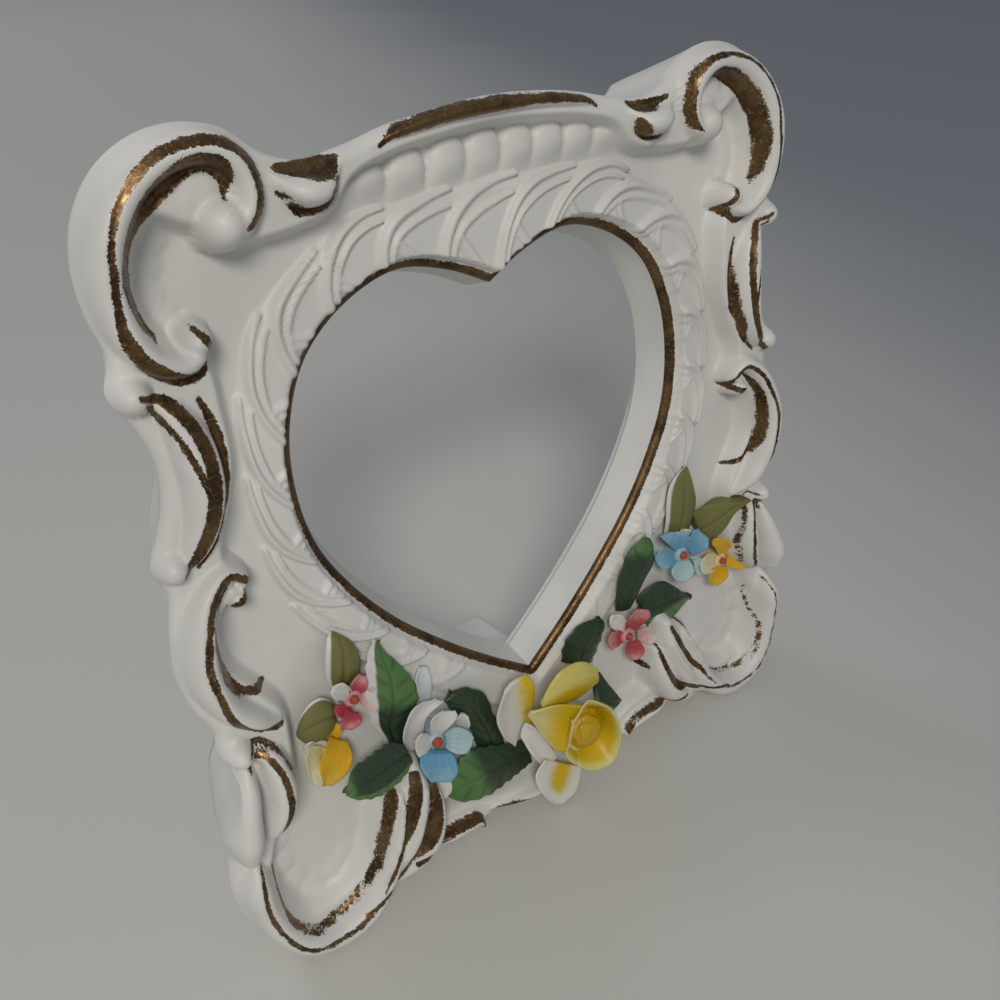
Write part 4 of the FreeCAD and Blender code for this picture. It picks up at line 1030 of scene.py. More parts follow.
FLOWERS: tuple[Flower, ...] = (
    Flower("pink_flower_left", "pink_petal", (-50.4, -27.6, 7.6, 1.35), (
        Petal(Tint.PINK, (
            (-51.5, -29.8, -49.9, -31.9, 6.6), (-53.5, -30.0, -49.9, -32.7, 8.0),
            (-54.8, -31.1, -50.7, -33.6, 8.4), (-55.0, -33.4, -52.6, -34.9, 7.8))),
        Petal(Tint.PINK, (
            (-50.7, -27.2, -48.9, -27.9, 6.6), (-51.0, -23.6, -47.6, -26.1, 8.0),
            (-49.7, -22.0, -47.0, -24.3, 8.4), (-48.0, -21.8, -46.8, -23.0, 8.0))),
        Petal(Tint.PALE_PINK, (
            (-49.1, -28.2, -49.0, -30.3, 6.4), (-47.1, -26.9, -47.6, -32.3, 7.2),
            (-45.6, -27.0, -46.1, -33.5, 7.6), (-44.8, -29.0, -44.9, -32.1, 7.4))),
        Petal(Tint.WHITE, (
            (-51.2, -28.0, -50.0, -27.1, 6.6), (-53.6, -25.5, -51.4, -23.0, 8.2),
            (-54.9, -23.6, -53.0, -20.9, 8.8), (-55.2, -22.2, -54.3, -21.1, 8.6))),
        Petal(Tint.MAUVE, (
            (-51.0, -28.9, -50.8, -30.6, 6.4), (-52.9, -27.8, -53.0, -31.0, 7.2),
            (-54.4, -27.2, -54.7, -29.8, 7.6), (-55.1, -27.7, -55.3, -28.7, 7.4))),
    )),
    Flower("yellow_flower_left", "yellow_petal", (-59.2, -38.5, 7.4, 1.20), (
        Petal(Tint.GOLD, (
            (-56.9, -34.8, -53.7, -38.0, 6.2), (-59.0, -35.5, -53.8, -40.0, 8.2),
            (-61.4, -38.1, -55.1, -42.3, 9.2), (-62.0, -41.3, -57.2, -44.6, 9.0),
            (-61.8, -44.9, -59.6, -46.1, 8.4))),
        Petal(Tint.PALE_YELLOW, (
            (-58.7, -36.8, -58.3, -39.4, 6.6), (-62.1, -33.5, -61.0, -39.1, 8.2),
            (-63.8, -34.1, -62.0, -41.3, 9.0), (-64.4, -38.4, -62.2, -43.7, 8.8),
            (-63.9, -43.0, -62.7, -45.1, 8.2))),
        Petal(Tint.WHITE, (
            (-57.8, -36.5, -57.5, -38.5, 6.2), (-60.1, -33.8, -59.2, -37.5, 6.8),
            (-62.2, -33.2, -62.1, -36.1, 7.0), (-63.2, -34.1, -63.3, -35.5, 6.8))),
        Petal(Tint.GOLD, (
            (-57.0, -37.0, -55.4, -37.5, 5.4), (-57.7, -33.3, -54.4, -34.8, 6.4),
            (-56.3, -32.0, -54.1, -33.1, 6.6))),
    )),
    Flower("blue_flower_left", "blue_petal", (-33.7, -49.1, 9.6, 1.75), (
        Petal(Tint.BLUE, (
            (-34.3, -51.3, -31.2, -53.3, 8.2), (-38.3, -49.0, -30.7, -53.9, 10.4),
            (-39.6, -50.7, -30.5, -56.4, 11.2), (-39.2, -54.2, -31.1, -59.7, 11.4),
            (-37.7, -58.2, -32.6, -61.7, 11.0))),
        Petal(Tint.PALE_BLUE, (
            (-31.5, -48.8, -31.8, -52.5, 8.4), (-30.2, -46.7, -31.2, -53.0, 10.4),
            (-27.8, -47.3, -28.8, -54.6, 11.2), (-25.5, -50.5, -26.4, -55.0, 11.0),
            (-24.7, -52.8, -25.2, -54.4, 10.6))),
        Petal(Tint.WHITE, (
            (-34.0, -47.5, -31.9, -48.5, 8.6), (-35.2, -43.0, -30.6, -45.5, 10.4),
            (-34.3, -40.1, -28.2, -43.2, 11.0), (-31.4, -40.4, -28.3, -41.9, 10.6))),
        Petal(Tint.WHITE, (
            (-34.2, -48.4, -34.6, -50.7, 8.4), (-36.8, -43.9, -38.0, -49.4, 10.2),
            (-38.7, -43.5, -39.8, -48.1, 10.8), (-39.6, -44.9, -39.9, -46.6, 10.6))),
        Petal(Tint.GREY_WHITE, (
            (-35.3, -57.1, -36.8, -52.3, 5.6), (-35.9, -47.9, -40.8, -47.9, 7.2),
            (-34.4, -41.4, -40.5, -41.2, 8.2), (-31.0, -39.7, -37.1, -37.2, 8.4),
            (-29.6, -39.8, -32.1, -38.3, 8.0))),
        Petal(Tint.GREY_WHITE, (
            (-34.3, -61.8, -31.0, -63.3, 6.4), (-35.3, -63.8, -31.2, -65.3, 8.0),
            (-35.0, -66.6, -32.2, -67.8, 8.2), (-34.3, -68.6, -33.2, -69.0, 8.0))),
        Petal(Tint.WHITE, (
            (-27.1, -49.6, -25.7, -52.1, 8.0), (-27.5, -45.7, -24.5, -49.0, 9.4),
            (-26.0, -45.0, -24.5, -46.8, 9.4))),
        Petal(Tint.ICE, (
            (-33.8, -39.9, -32.0, -40.7, 5.4), (-35.0, -34.3, -31.8, -36.2, 6.6),
            (-34.9, -29.9, -31.6, -31.4, 7.2), (-33.5, -28.5, -31.7, -29.5, 7.0))),
    )),
    Flower("pink_flower_right", "pink_petal", (28.4, -51.7, 7.8, 1.40), (
        Petal(Tint.PINK, (
            (28.1, -50.5, 32.5, -52.1, 6.6), (27.6, -46.1, 33.6, -49.1, 8.2),
            (28.9, -43.8, 35.3, -47.0, 8.8), (30.5, -43.4, 34.8, -45.6, 8.6))),
        Petal(Tint.PINK, (
            (27.4, -50.5, 27.6, -53.6, 6.6), (23.3, -47.1, 22.7, -52.1, 8.2),
            (21.1, -47.4, 20.9, -51.6, 8.6), (20.5, -48.9, 20.8, -50.7, 8.4))),
        Petal(Tint.PINK, (
            (29.4, -54.3, 32.7, -55.3, 6.6), (26.9, -54.7, 33.0, -57.3, 8.2),
            (26.9, -57.0, 32.4, -59.6, 8.4), (28.8, -59.9, 31.0, -60.7, 8.2))),
        Petal(Tint.PALE_PINK, (
            (32.1, -52.6, 32.3, -55.8, 6.6), (34.1, -51.8, 34.7, -57.3, 8.0),
            (36.3, -53.4, 37.0, -57.5, 8.4), (38.0, -55.8, 38.3, -57.0, 8.2))),
        Petal(Tint.WHITE, (
            (27.9, -50.9, 29.8, -50.2, 6.4), (23.1, -46.5, 26.4, -44.3, 8.0),
            (21.5, -43.5, 24.7, -42.3, 8.4), (21.9, -42.1, 23.3, -41.9, 8.4))),
    )),
    Flower("blue_flower_right", "blue_petal", (48.7, -34.8, 8.0, 1.50), (
        Petal(Tint.BLUE, (
            (47.8, -34.1, 51.6, -35.2, 6.6), (43.3, -29.2, 50.4, -31.0, 8.2),
            (40.5, -25.9, 49.4, -28.1, 8.8), (39.7, -24.4, 46.6, -26.1, 8.6))),
        Petal(Tint.BLUE, (
            (51.3, -35.0, 54.0, -37.8, 6.6), (50.7, -30.6, 56.6, -36.3, 8.2),
            (51.8, -28.0, 57.7, -35.0, 8.6), (54.0, -28.4, 57.9, -32.9, 8.4))),
        Petal(Tint.BLUE, (
            (47.4, -34.3, 48.2, -36.9, 6.6), (42.1, -30.3, 43.2, -35.8, 8.2),
            (38.8, -29.3, 40.2, -34.9, 8.6), (37.9, -30.5, 39.0, -33.5, 8.4))),
        Petal(Tint.PALE_BLUE, (
            (48.6, -36.7, 52.4, -38.4, 6.6), (44.5, -37.1, 52.5, -40.5, 8.0),
            (44.4, -39.5, 51.4, -42.7, 8.4), (46.5, -42.2, 50.0, -43.8, 8.2))),
        Petal(Tint.PALE_BLUE, (
            (52.6, -38.0, 53.8, -40.1, 6.4), (54.1, -38.1, 53.8, -42.5, 7.6),
            (57.5, -40.5, 56.3, -44.0, 7.8), (59.3, -42.7, 58.5, -44.1, 7.6))),
        Petal(Tint.ICE, (
            (49.4, -34.7, 53.2, -36.0, 6.2), (48.2, -30.0, 53.9, -32.1, 7.0),
            (48.7, -27.3, 52.5, -28.6, 7.2))),
    )),
    Flower("yellow_flower_right", "yellow_petal", (64.4, -43.6, 7.8, 1.25), (
        Petal(Tint.GOLD, (
            (65.4, -44.6, 67.0, -42.6, 6.6), (60.8, -37.7, 66.9, -39.1, 8.4),
            (58.9, -34.7, 64.9, -36.3, 9.0), (59.8, -33.9, 63.1, -35.0, 8.8))),
        Petal(Tint.GOLD, (
            (67.4, -44.1, 67.1, -47.1, 6.6), (69.5, -41.5, 69.7, -48.5, 8.4),
            (71.8, -43.3, 72.5, -49.1, 9.0), (73.8, -46.0, 74.0, -48.5, 8.8))),
        Petal(Tint.GOLD, (
            (64.1, -45.4, 67.5, -47.3, 6.6), (59.1, -44.7, 66.2, -49.3, 8.2),
            (58.5, -47.1, 63.5, -50.4, 8.4), (60.0, -49.5, 62.1, -50.9, 8.2))),
        Petal(Tint.PALE_YELLOW, (
            (64.9, -43.4, 64.6, -46.3, 6.6), (59.4, -38.5, 58.7, -44.9, 8.2),
            (56.6, -38.4, 55.5, -43.2, 8.6), (55.2, -39.5, 54.9, -41.7, 8.4))),
    )),
)
ROSE_BLADES: tuple[tuple[str, Petal], ...] = (
    ("rose_petal_upper", Petal(Tint.ROSE_BACK, (
        (11.5, -49.2, 14.0, 12.0, -55.3, 13.0), (6.6, -43.7, 15.5, 8.5, -55.6, 13.5),
        (1.5, -41.8, 16.0, 3.8, -54.9, 14.0), (-2.9, -42.5, 16.0, -0.8, -53.8, 14.5),
        (-5.6, -45.6, 15.5, -4.3, -52.7, 15.0),
        (-7.4, -49.3, 15.0, -7.0, -51.4, 15.0)), cup=-1.4, thickness=1.1)),
    ("rose_petal_left", Petal(Tint.ROSE_FRONT, (
        (2.3, -53.3, 19.0, -1.3, -67.1, 17.0), (-2.8, -50.3, 18.5, -4.1, -66.0, 16.5),
        (-7.2, -49.0, 17.5, -7.1, -61.1, 16.0), (-10.1, -49.2, 16.5, -9.7, -55.2, 16.0),
        (-11.2, -49.5, 16.0, -11.1, -50.8, 16.0)), cup=1.6, thickness=1.2)),
    ("rose_petal_left", Petal(Tint.WHITE, (
        (-2.3, -72.6, 12.0, -2.0, -78.5, 11.0), (-5.6, -63.9, 12.5, -5.9, -73.4, 11.0),
        (-8.2, -58.6, 12.0, -9.5, -66.6, 11.0),
        (-9.8, -57.0, 11.0, -11.1, -61.2, 10.5)), cup=1.2, thickness=1.1)),
    ("rose_petal_left", Petal(Tint.ROSE_EDGE, (
        (-7.6, -58.4, 10.0, -11.6, -65.7, 8.0), (-7.3, -50.0, 12.0, -16.5, -56.8, 10.5),
        (-7.4, -44.6, 12.5, -17.8, -49.2, 11.5),
        (-8.6, -41.7, 12.0, -15.1, -43.6, 12.0)), cup=1.4, thickness=1.1)),
    ("rose_petal_lower", Petal(Tint.ROSE_STREAK, (
        (-5.8, -71.0, 12.0, 5.5, -80.5, 13.0), (-9.4, -73.1, 13.0, 4.1, -83.6, 13.5),
        (-9.3, -78.1, 13.5, 1.8, -86.4, 13.7), (-6.6, -83.8, 13.4, -0.5, -87.6, 13.6),
        (-3.5, -87.4, 13.4, -1.9, -88.2, 13.5)), cup=0.8, thickness=1.1)),
)
ROSE_RIM: Rows = (
    (4.0, -52.7, 19.0), (7.9, -55.7, 19.5), (11.3, -60.3, 20.0), (13.0, -66.8, 20.0), (12.8, -73.3, 19.5),
    (10.6, -77.9, 19.0), (5.8, -77.6, 18.5), (0.7, -73.2, 18.0), (-2.4, -68.0, 17.5), (-2.2, -63.4, 18.5),
    (-1.8, -59.0, 19.5), (0.4, -54.4, 20.0),
)
ROSE_WAIST: Rows = (
    (5.5, -58.6, 15.8), (10.7, -60.7, 16.0), (12.3, -65.3, 15.5), (12.5, -69.6, 15.0), (10.9, -72.5, 15.0),
    (6.1, -73.2, 15.0), (2.2, -70.4, 15.0), (0.8, -66.6, 15.0), (1.4, -62.0, 15.4),
)
ROSE_SECTORS: tuple[Sector, ...] = (
    Sector("rose_petal_right", -128.0, 46.0, 1.35),
    Sector("rose_inner_petal_1", 40.0, 128.0, 1.0),
    Sector("rose_inner_petal_2", 122.0, 190.0, 1.0),
    Sector("rose_inner_petal_3", 184.0, 238.0, 1.0),
)
ROSE_BASE: Rows = ((4.6, 3.0), (5.2, 5.0), (6.6, 9.0), (6.8, 12.0), (5.6, 14.0), (0.2, 14.2))
ROSE_BUD: Rows = ((6.7, 12.4), (5.7, 13.8), (4.5, 15.6), (3.2, 17.0), (1.6, 17.6), (0.1, 17.4))


@dataclass
class Clay:
    """A piece that is modelled bit by bit: points in the plan, faces, and masks."""

    points: list[Array] = field(default_factory=list)
    faces: Faces = field(default_factory=list)
    masks: dict[str, list[Array]] = field(default_factory=dict)
    count: int = 0
    thin_side: float = 0.35
    press_end: float = 1.15
    lathe_sides: int = 28
    lathe_step: float = 0.3
    lump_waves: Pair = (5.0, 3.0)
    least_radius: float = 0.02

    def add(self, points: Array, faces: Faces, masks: dict[str, Array]) -> None:
        """Adds a closed bit of clay.

        Args:
            points: Rows of x, z and rise.
            faces: Corner indices within this bit.
            masks: Values for each of its points.
        """
        self.points.append(points)
        self.faces += [tuple(corner + self.count for corner in face) for face in faces]
        for name, values in masks.items():
            self.masks.setdefault(name, []).append(values)
        self.count += len(points)

    def add_shell(self, grid: Array, thickness: float, masks: dict[str, Array],
                  ground: float | None = None) -> None:
        """Adds a thin shell behind a grid of places, thinner at its sides.

        Args:
            grid: Places (along, across, 3) in the plan.
            thickness: Thickness in the middle.
            masks: Values for each place of the grid.
            ground: Rise that the shell's middle reaches down to, where it is pressed on the casting.
        """
        length, width = grid.shape[:2]
        normal = forward_normals(np.gradient(grid, axis=0), np.gradient(grid, axis=1))
        side = np.abs(np.linspace(-1.0, 1.0, width))
        depth = thickness * (self.thin_side + (1.0 - self.thin_side) * (1.0 - side**4))
        under = grid - normal * depth[None, :, None]
        if ground is not None:
            along = np.linspace(0.0, 1.0, length)[:, None]
            pad = (1.0 - side[None, :] ** 2) ** 2 * np.sqrt(np.clip(self.press_end - along, 0.0, 1.0))
            under[..., 2] = under[..., 2] * (1.0 - pad) + np.minimum(ground, under[..., 2]) * pad
        ring = np.concatenate([grid, under[:, ::-1]], axis=1)
        round_count = 2 * width
        faces = grid_faces(length, round_count, False, True)
        for start in (0, (length - 1) * round_count):
            for step in range(width - 1):
                faces.append((start + step, start + step + 1, start + round_count - 2 - step,
                              start + round_count - 1 - step))
        doubled = {name: np.concatenate([value, value[:, ::-1]], axis=1).ravel()
                   for name, value in masks.items()}
        self.add(ring.reshape(-1, 3), faces, doubled)

    def add_lathe(self, middle: Pair, profile: Rows, masks: dict[str, float],
                  lumps: float = 0.0) -> None:
        """Adds a turned bit that faces forward.

        Args:
            middle: Its x and z.
            profile: Rows of radius and rise, from its foot to its top.
            masks: One value each for all of its points.
            lumps: Share by which its radius wavers.
        """
        sides = self.lathe_sides
        rows = smooth_curve(profile, self.lathe_step)
        turn = np.linspace(0.0, 2.0 * math.pi, sides, endpoint=False)
        round_wave, rise_wave = self.lump_waves
        waver = 1.0 + lumps * np.sin(round_wave * turn)[:, None] * np.sin(rise_wave * rows[:, 1])[None, :]
        radius = np.maximum(rows[:, 0], self.least_radius)[None, :] * waver
        points = np.stack([middle[0] + radius * np.cos(turn)[:, None],
                           middle[1] + radius * np.sin(turn)[:, None],
                           np.broadcast_to(rows[:, 1], radius.shape)], axis=-1)
        count = len(rows)
        faces = grid_faces(sides, count, True, False)
        for level in (0, count - 1):
            faces.append(tuple(side * count + level for side in range(sides)))
        spread = {name: np.full(sides * count, value) for name, value in masks.items()}
        self.add(points.reshape(-1, 3), faces, spread)

    def fire(self, name: str, material: Material, slot: str,
             nodes: tuple[str, ...]) -> Piece:
        """Makes the finished piece.

        Args:
            name: The piece's name.
            material: Its finish.
            slot: The record's slot that the finish belongs to; not used.
            nodes: CAD nodes that the piece stands for.

        Returns:
            The new object.
        """
        points = np.vstack(self.points)
        masks = {mask: np.concatenate(values) for mask, values in self.masks.items()}
        world = PLANE.world(points[:, 0], points[:, 1], points[:, 2])
        return make_piece(name, world, self.faces, masks, material, nodes)


@dataclass(frozen=True)
class BladeGrid:
    """Places of a blade between its two edges, with the share along and across of each."""

    places: Array
    along: Array
    across: Array
    half: Array

    @classmethod
    def between(cls, rows: Rows, step: float, width: int, cup: float) -> "BladeGrid":
        """A bowed surface between two edges.

        Args:
            rows: Edge rows as a petal or leaf has them.
            step: Distance between stations, in millimetres.
            width: Places across.
            cup: How far the edges stand forward of the middle.

        Returns:
            The grid.
        """
        full = [row if len(row) == 6 else (*row[:2], row[4], *row[2:]) for row in rows]
        table = tuple(((r[0] + r[3]) / 2, (r[1] + r[4]) / 2, *r) for r in full)
        curve = smooth_curve(table, step)
        first, second = curve[:, None, 2:5], curve[:, None, 5:8]
        across = np.linspace(-1.0, 1.0, width)[None, :]
        share = (across[..., None] + 1.0) / 2.0
        places = first * (1.0 - share) + second * share
        half = np.linalg.norm(second - first, axis=2) / 2.0
        gaps = np.linalg.norm(np.diff(curve[:, :2], axis=0), axis=1)
        along = np.concatenate([[0.0], np.cumsum(gaps)])
        along = (along / along[-1])[:, None] + np.zeros((1, width))
        across = across + np.zeros((len(curve), 1))
        normal = forward_normals(np.gradient(places, axis=0), second - first)
        bow = cup * (half / half.max()) * (across**2 - 1.0)
        return cls(places + normal * bow[..., None], along, across, half + np.zeros((1, width)))


@dataclass
class Spray:
    """The applied leaves, the small flowers and the rose under the heart.

    Lengths are millimetres. A pair of shares is where a change begins and where it is complete.
    """

    finishes: "Finishes"
    leaf_step: float = 0.35
    leaf_width: int = 31
    leaf_thickness: float = 0.9
    midrib_groove: float = 0.5
    midrib_line: float = 0.35
    vein_lean: float = 0.9
    vein_breadth: float = 0.13
    vein_start: Pair = (0.05, 0.25)
    vein_end: Pair = (0.75, 1.0)
    vein_groove: float = 0.22
    vein_shade: float = 0.7
    tooth_reach: float = 0.09
    notch_power: float = 1.3
    notch_fade: float = 9.0
    light_blend: float = 0.14
    light_patch: Pair = (2.2, 1.2)
    bare_patch: Pair = (2.4, 1.6)

    petal_step: float = 0.4
    petal_width: int = 19
    flutter: float = 0.18
    flutter_waves: Pair = (7.0, 4.0)
    deep_span: Pair = (0.1, 0.9)
    side_span: Pair = (-0.4, 0.9)
    side_cover: float = 1.3
    side_thinning: float = 0.4
    streak_middle: float = 0.10
    streak_breadth: float = 0.50
    streak_fade: Pair = (0.40, 0.95)
    brush_lines: float = 16.0
    brush_sway: Pair = (2.0, 5.0)

    foot_rise: float = 3.0
    button_share: float = 0.78
    button_lumps: float = 0.09
    rose_middle: Pair = (4.2, -66.5)
    bud_middle: Pair = (6.0, -66.0)
    bud_lumps: float = 0.12
    ring_step: float = 0.5
    cup_columns: int = 61
    cup_rows: int = 21
    cup_draw: float = 0.12
    cup_drop: float = 2.5
    cup_bend: float = 0.5
    cup_taper: float = 2.0
    cup_taper_power: float = 0.25
    cup_cover: Pair = (0.7, 1.0)
    cup_cover_loss: float = 0.25
    cup_deep: Pair = (0.62, 0.96)
    cup_deep_loss: float = 0.9

    def side_veins(self, count: int, along: Array, side: Array) -> Array:
        """How much of a side vein lies at each place of a leaf.

        Args:
            count: Side veins along the leaf.
            along: Share along the leaf.
            side: Share from the midrib to the edge.

        Returns:
            A share from 0 to 1 for each place.
        """
        wave = (along * count - side * self.vein_lean) % 1.0
        crest = np.exp(-(((wave - 0.5) / self.vein_breadth) ** 2))
        return crest * ease(*self.vein_start, side) * (1.0 - ease(*self.vein_end, side))

    def build_leaf(self, leaf: Leaf) -> None:
        """Models one leaf and presses it on the casting.

        Args:
            leaf: The leaf.
        """
        grid = BladeGrid.between(leaf.rows, self.leaf_step, self.leaf_width, leaf.cup)
        places, along, across = grid.places.copy(), grid.along, grid.across
        side = np.abs(across)
        off = side * grid.half
        fade = 1.0 - along**3
        places[..., 2] -= leaf.groove * np.exp(-((off / self.midrib_groove) ** 2)) * fade
        # The vein mask darkens the paint along the midrib groove and the side vein grooves: painted shade
        vein = np.exp(-((off / self.midrib_line) ** 2)) * fade
        if leaf.veins:
            rib = self.side_veins(leaf.veins, along, side)
            places[..., 2] -= self.vein_groove * rib
            vein = np.maximum(vein, self.vein_shade * rib)
        centre = self.leaf_width // 2
        if leaf.teeth:
            middle = places[:, centre:centre + 1, :2]
            tooth = np.abs((along * leaf.teeth) % 1.0 - 0.5) * 2.0
            reach = 1.0 + self.tooth_reach * (tooth - 0.5) * side**4
            places[..., :2] = middle + (places[..., :2] - middle) * reach[..., None]
        if leaf.notch:
            heading = places[-1, centre, :2] - places[0, centre, :2]
            heading /= np.linalg.norm(heading)
            draw = leaf.notch * (1.0 - side**self.notch_power) * np.exp(-along * self.notch_fade)
            places[..., :2] += heading * draw[..., None]
        light = ease(leaf.light_from - self.light_blend, leaf.light_from + self.light_blend, along)
        if leaf.light_side:
            light = np.maximum(light, side_patch(leaf.light_side, self.light_patch, across))
        cover = np.ones(across.shape)
        if leaf.bare:
            cover = 1.0 - side_patch(leaf.bare, self.bare_patch, -across)
        clay = Clay()
        masks = {"cover": cover, "deep": 1.0 - light, "vein": vein}
        clay.add_shell(places, self.leaf_thickness, masks, leaf.ground)
        material = self.finishes.olive if leaf.kind is LeafKind.OLIVE else self.finishes.dark
        clay.fire(leaf.name + "_blade", material, leaf.kind.value, (leaf.name,))

    def add_petal(self, clay: Clay, petal: Petal) -> None:
        """Models one petal.

        Args:
            clay: The clay that the petal is added to.
            petal: The petal.
        """
        grid = BladeGrid.between(petal.rows, self.petal_step, self.petal_width, petal.cup)
        look = petal.tint.value
        along, across = grid.along, grid.across
        places = grid.places.copy()
        along_wave, across_wave = self.flutter_waves
        flutter = self.flutter * np.sin(along * along_wave + across * across_wave)
        places[..., 2] += flutter * np.abs(across)
        cover = look.cover[0] + (look.cover[1] - look.cover[0]) * along
        deep = look.deep[0] + (look.deep[1] - look.deep[0]) * ease(*self.deep_span, along)
        if look.side:
            edge = ease(*self.side_span, across * math.copysign(1.0, look.side))
            cover = np.maximum(cover, abs(look.side) * edge * self.side_cover)
            deep = np.clip(deep - self.side_thinning + edge, 0.0, 1.0)
        if look.streak:
            band = np.exp(-(((across - self.streak_middle) / self.streak_breadth) ** 2))
            line = band * (1.0 - ease(*self.streak_fade, along))
            cover = np.maximum(cover, look.streak * line)
            deep = np.maximum(deep, look.streak * line)
        sway, sway_wave = self.brush_sway
        lines = 0.5 + 0.5 * np.cos(across * self.brush_lines + sway * np.sin(along * sway_wave))
        masks = {"cover": cover, "deep": deep, "vein": lines * (1.0 - along)}
        clay.add_shell(places, petal.thickness, masks)

    def build_flower(self, flower: Flower) -> None:
        """Models one small flower and its button.

        Args:
            flower: The flower.
        """
        x, z, rise, radius = flower.button
        radius *= self.button_share
        paint = {"pink_petal": self.finishes.pink, "yellow_petal": self.finishes.yellow,
                 "blue_petal": self.finishes.blue}[flower.slot]
        clay = Clay()
        foot = self.foot_rise
        stalk = ((3.0, foot), (2.6, foot + 1.6), (2.3, rise - 1.6), (1.9, rise - 0.7), (0.1, rise - 0.5))
        clay.add_lathe((x, z), stalk, {"cover": 0.6, "deep": 0.6, "vein": 0.0})
        for petal in flower.petals:
            self.add_petal(clay, petal)
        clay.fire(flower.name + "_petals", paint, flower.slot, (flower.name,))
        button = Clay()
        crown = ((radius * 0.9, rise - 0.9), (radius, rise - 0.3), (radius * 0.85, rise + 0.35),
                 (radius * 0.5, rise + 0.7), (0.03, rise + 0.85))
        button.add_lathe((x, z), crown, {"cover": 1.0, "deep": 0.5, "vein": 0.0}, self.button_lumps)
        button.fire(flower.name + "_button", self.finishes.centre, "flower_centre",
                    (flower.name + "_centre",))

    def build_rose(self) -> None:
        """Models the rose: base, outer petals, the rolled cup and its heart."""
        paint = self.finishes.rose
        base = Clay()
        base.add_lathe(self.rose_middle, ROSE_BASE, {"cover": 0.5, "deep": 0.5, "vein": 0.0})
        base.fire("rose_base_calyx", paint, "rose_petal", ("rose_base",))
        clays: dict[str, Clay] = {}
        for name, petal in ROSE_BLADES:
            self.add_petal(clays.setdefault(name, Clay()), petal)
        for name, clay in clays.items():
            clay.fire(name + "_blade", paint, "rose_petal", (name,))
        rings = tuple(smooth_curve(rows, self.ring_step, closed=True) for rows in (ROSE_RIM, ROSE_WAIST))
        for sector in ROSE_SECTORS:
            self.build_sector(sector, rings)
        bud = Clay()
        bud.add_lathe(self.bud_middle, ROSE_BUD, {"cover": 1.0, "deep": 1.0, "vein": 0.3}, self.bud_lumps)
        bud.fire("rose_heart_bud", self.finishes.rose_heart, "rose_heart", ("rose_heart",))

    def build_sector(self, sector: Sector, rings: tuple[Array, ...]) -> None:
        """Models one wrapped petal of the rose's cup between the waist and the rim.

        Args:
            sector: The petal's name, span and thickness.
            rings: The cup's rim and waist.
        """
        angles = np.radians(np.linspace(sector.first, sector.last, self.cup_columns))
        lines = []
        for ring in rings:
            middle = ring.mean(axis=0)
            bearing = np.arctan2(ring[:, 1] - middle[1], ring[:, 0] - middle[0])
            order = np.argsort(bearing)
            column = [np.interp(angles, bearing[order], ring[order, axis], period=2.0 * math.pi)
                      for axis in range(3)]
            lines.append(np.stack(column, axis=-1))
        rim, waist = lines
        low = waist.copy()
        low[:, :2] += (waist[:, :2].mean(axis=0) - low[:, :2]) * self.cup_draw
        low[:, 2] -= self.cup_drop
        up = np.linspace(0.0, 1.0, self.cup_rows)[None, :, None]
        places = (low[:, None] * (1.0 - up) ** 2 + waist[:, None] * 2.0 * up * (1.0 - up)
                  + rim[:, None] * up**2)
        level = up[..., 0] + np.zeros((self.cup_columns, 1))
        along = np.linspace(0.0, 1.0, self.cup_columns)[:, None] + np.zeros((1, self.cup_rows))
        bend = 3.0 * level**2 - 2.0 * level**3
        places[..., 2] += self.cup_bend * (bend - level**2)
        taper = np.sin(along * math.pi) ** self.cup_taper_power
        places[..., 2] -= (1.0 - taper) * self.cup_taper * level
        masks = {"cover": 1.0 - self.cup_cover_loss * ease(*self.cup_cover, level),
                 "deep": 1.0 - self.cup_deep_loss * ease(*self.cup_deep, level),
                 "vein": np.zeros(level.shape)}
        clay = Clay()
        clay.add_shell(places, sector.thickness, masks)
        clay.fire(sector.name + "_cup", self.finishes.rose, "rose_petal", (sector.name,))

    def build(self) -> None:
        """Models the whole spray."""
        for leaf in LEAVES:
            self.build_leaf(leaf)
        for flower in FLOWERS:
            self.build_flower(flower)
        self.build_rose()


@dataclass(frozen=True)
class Finish:
    """A paint or body finish: its main colour, its second colour, and how rough it is."""

    name: str
    main: Triple
    second: Triple
    roughness: float = 0.5

    def start(self) -> tuple[Material, NodeTree, Node]:
        """A new material with its shader, and the shader's own values set.

        Returns:
            The material, its tree and its shader node.
        """
        material = bpy.data.materials.new(self.name)
        material.use_nodes = True
        tree = material.node_tree
        shader = tree.nodes["Principled BSDF"]
        shader.inputs["Base Color"].default_value = (*self.main, 1.0)
        shader.inputs["Roughness"].default_value = self.roughness
        return material, tree, shader


BISQUE = Finish("bisque_plain", (0.71, 0.70, 0.675), (0.63, 0.62, 0.60), 0.5)
SPECK = (0.12, 0.10, 0.09)
UMBER = (0.060, 0.034, 0.016)
BRONZE = (0.15, 0.088, 0.038)
# Gold of the painted glints on the gilding
GOLD = (0.42, 0.29, 0.12)
BUMP_DEPTH = 0.0001


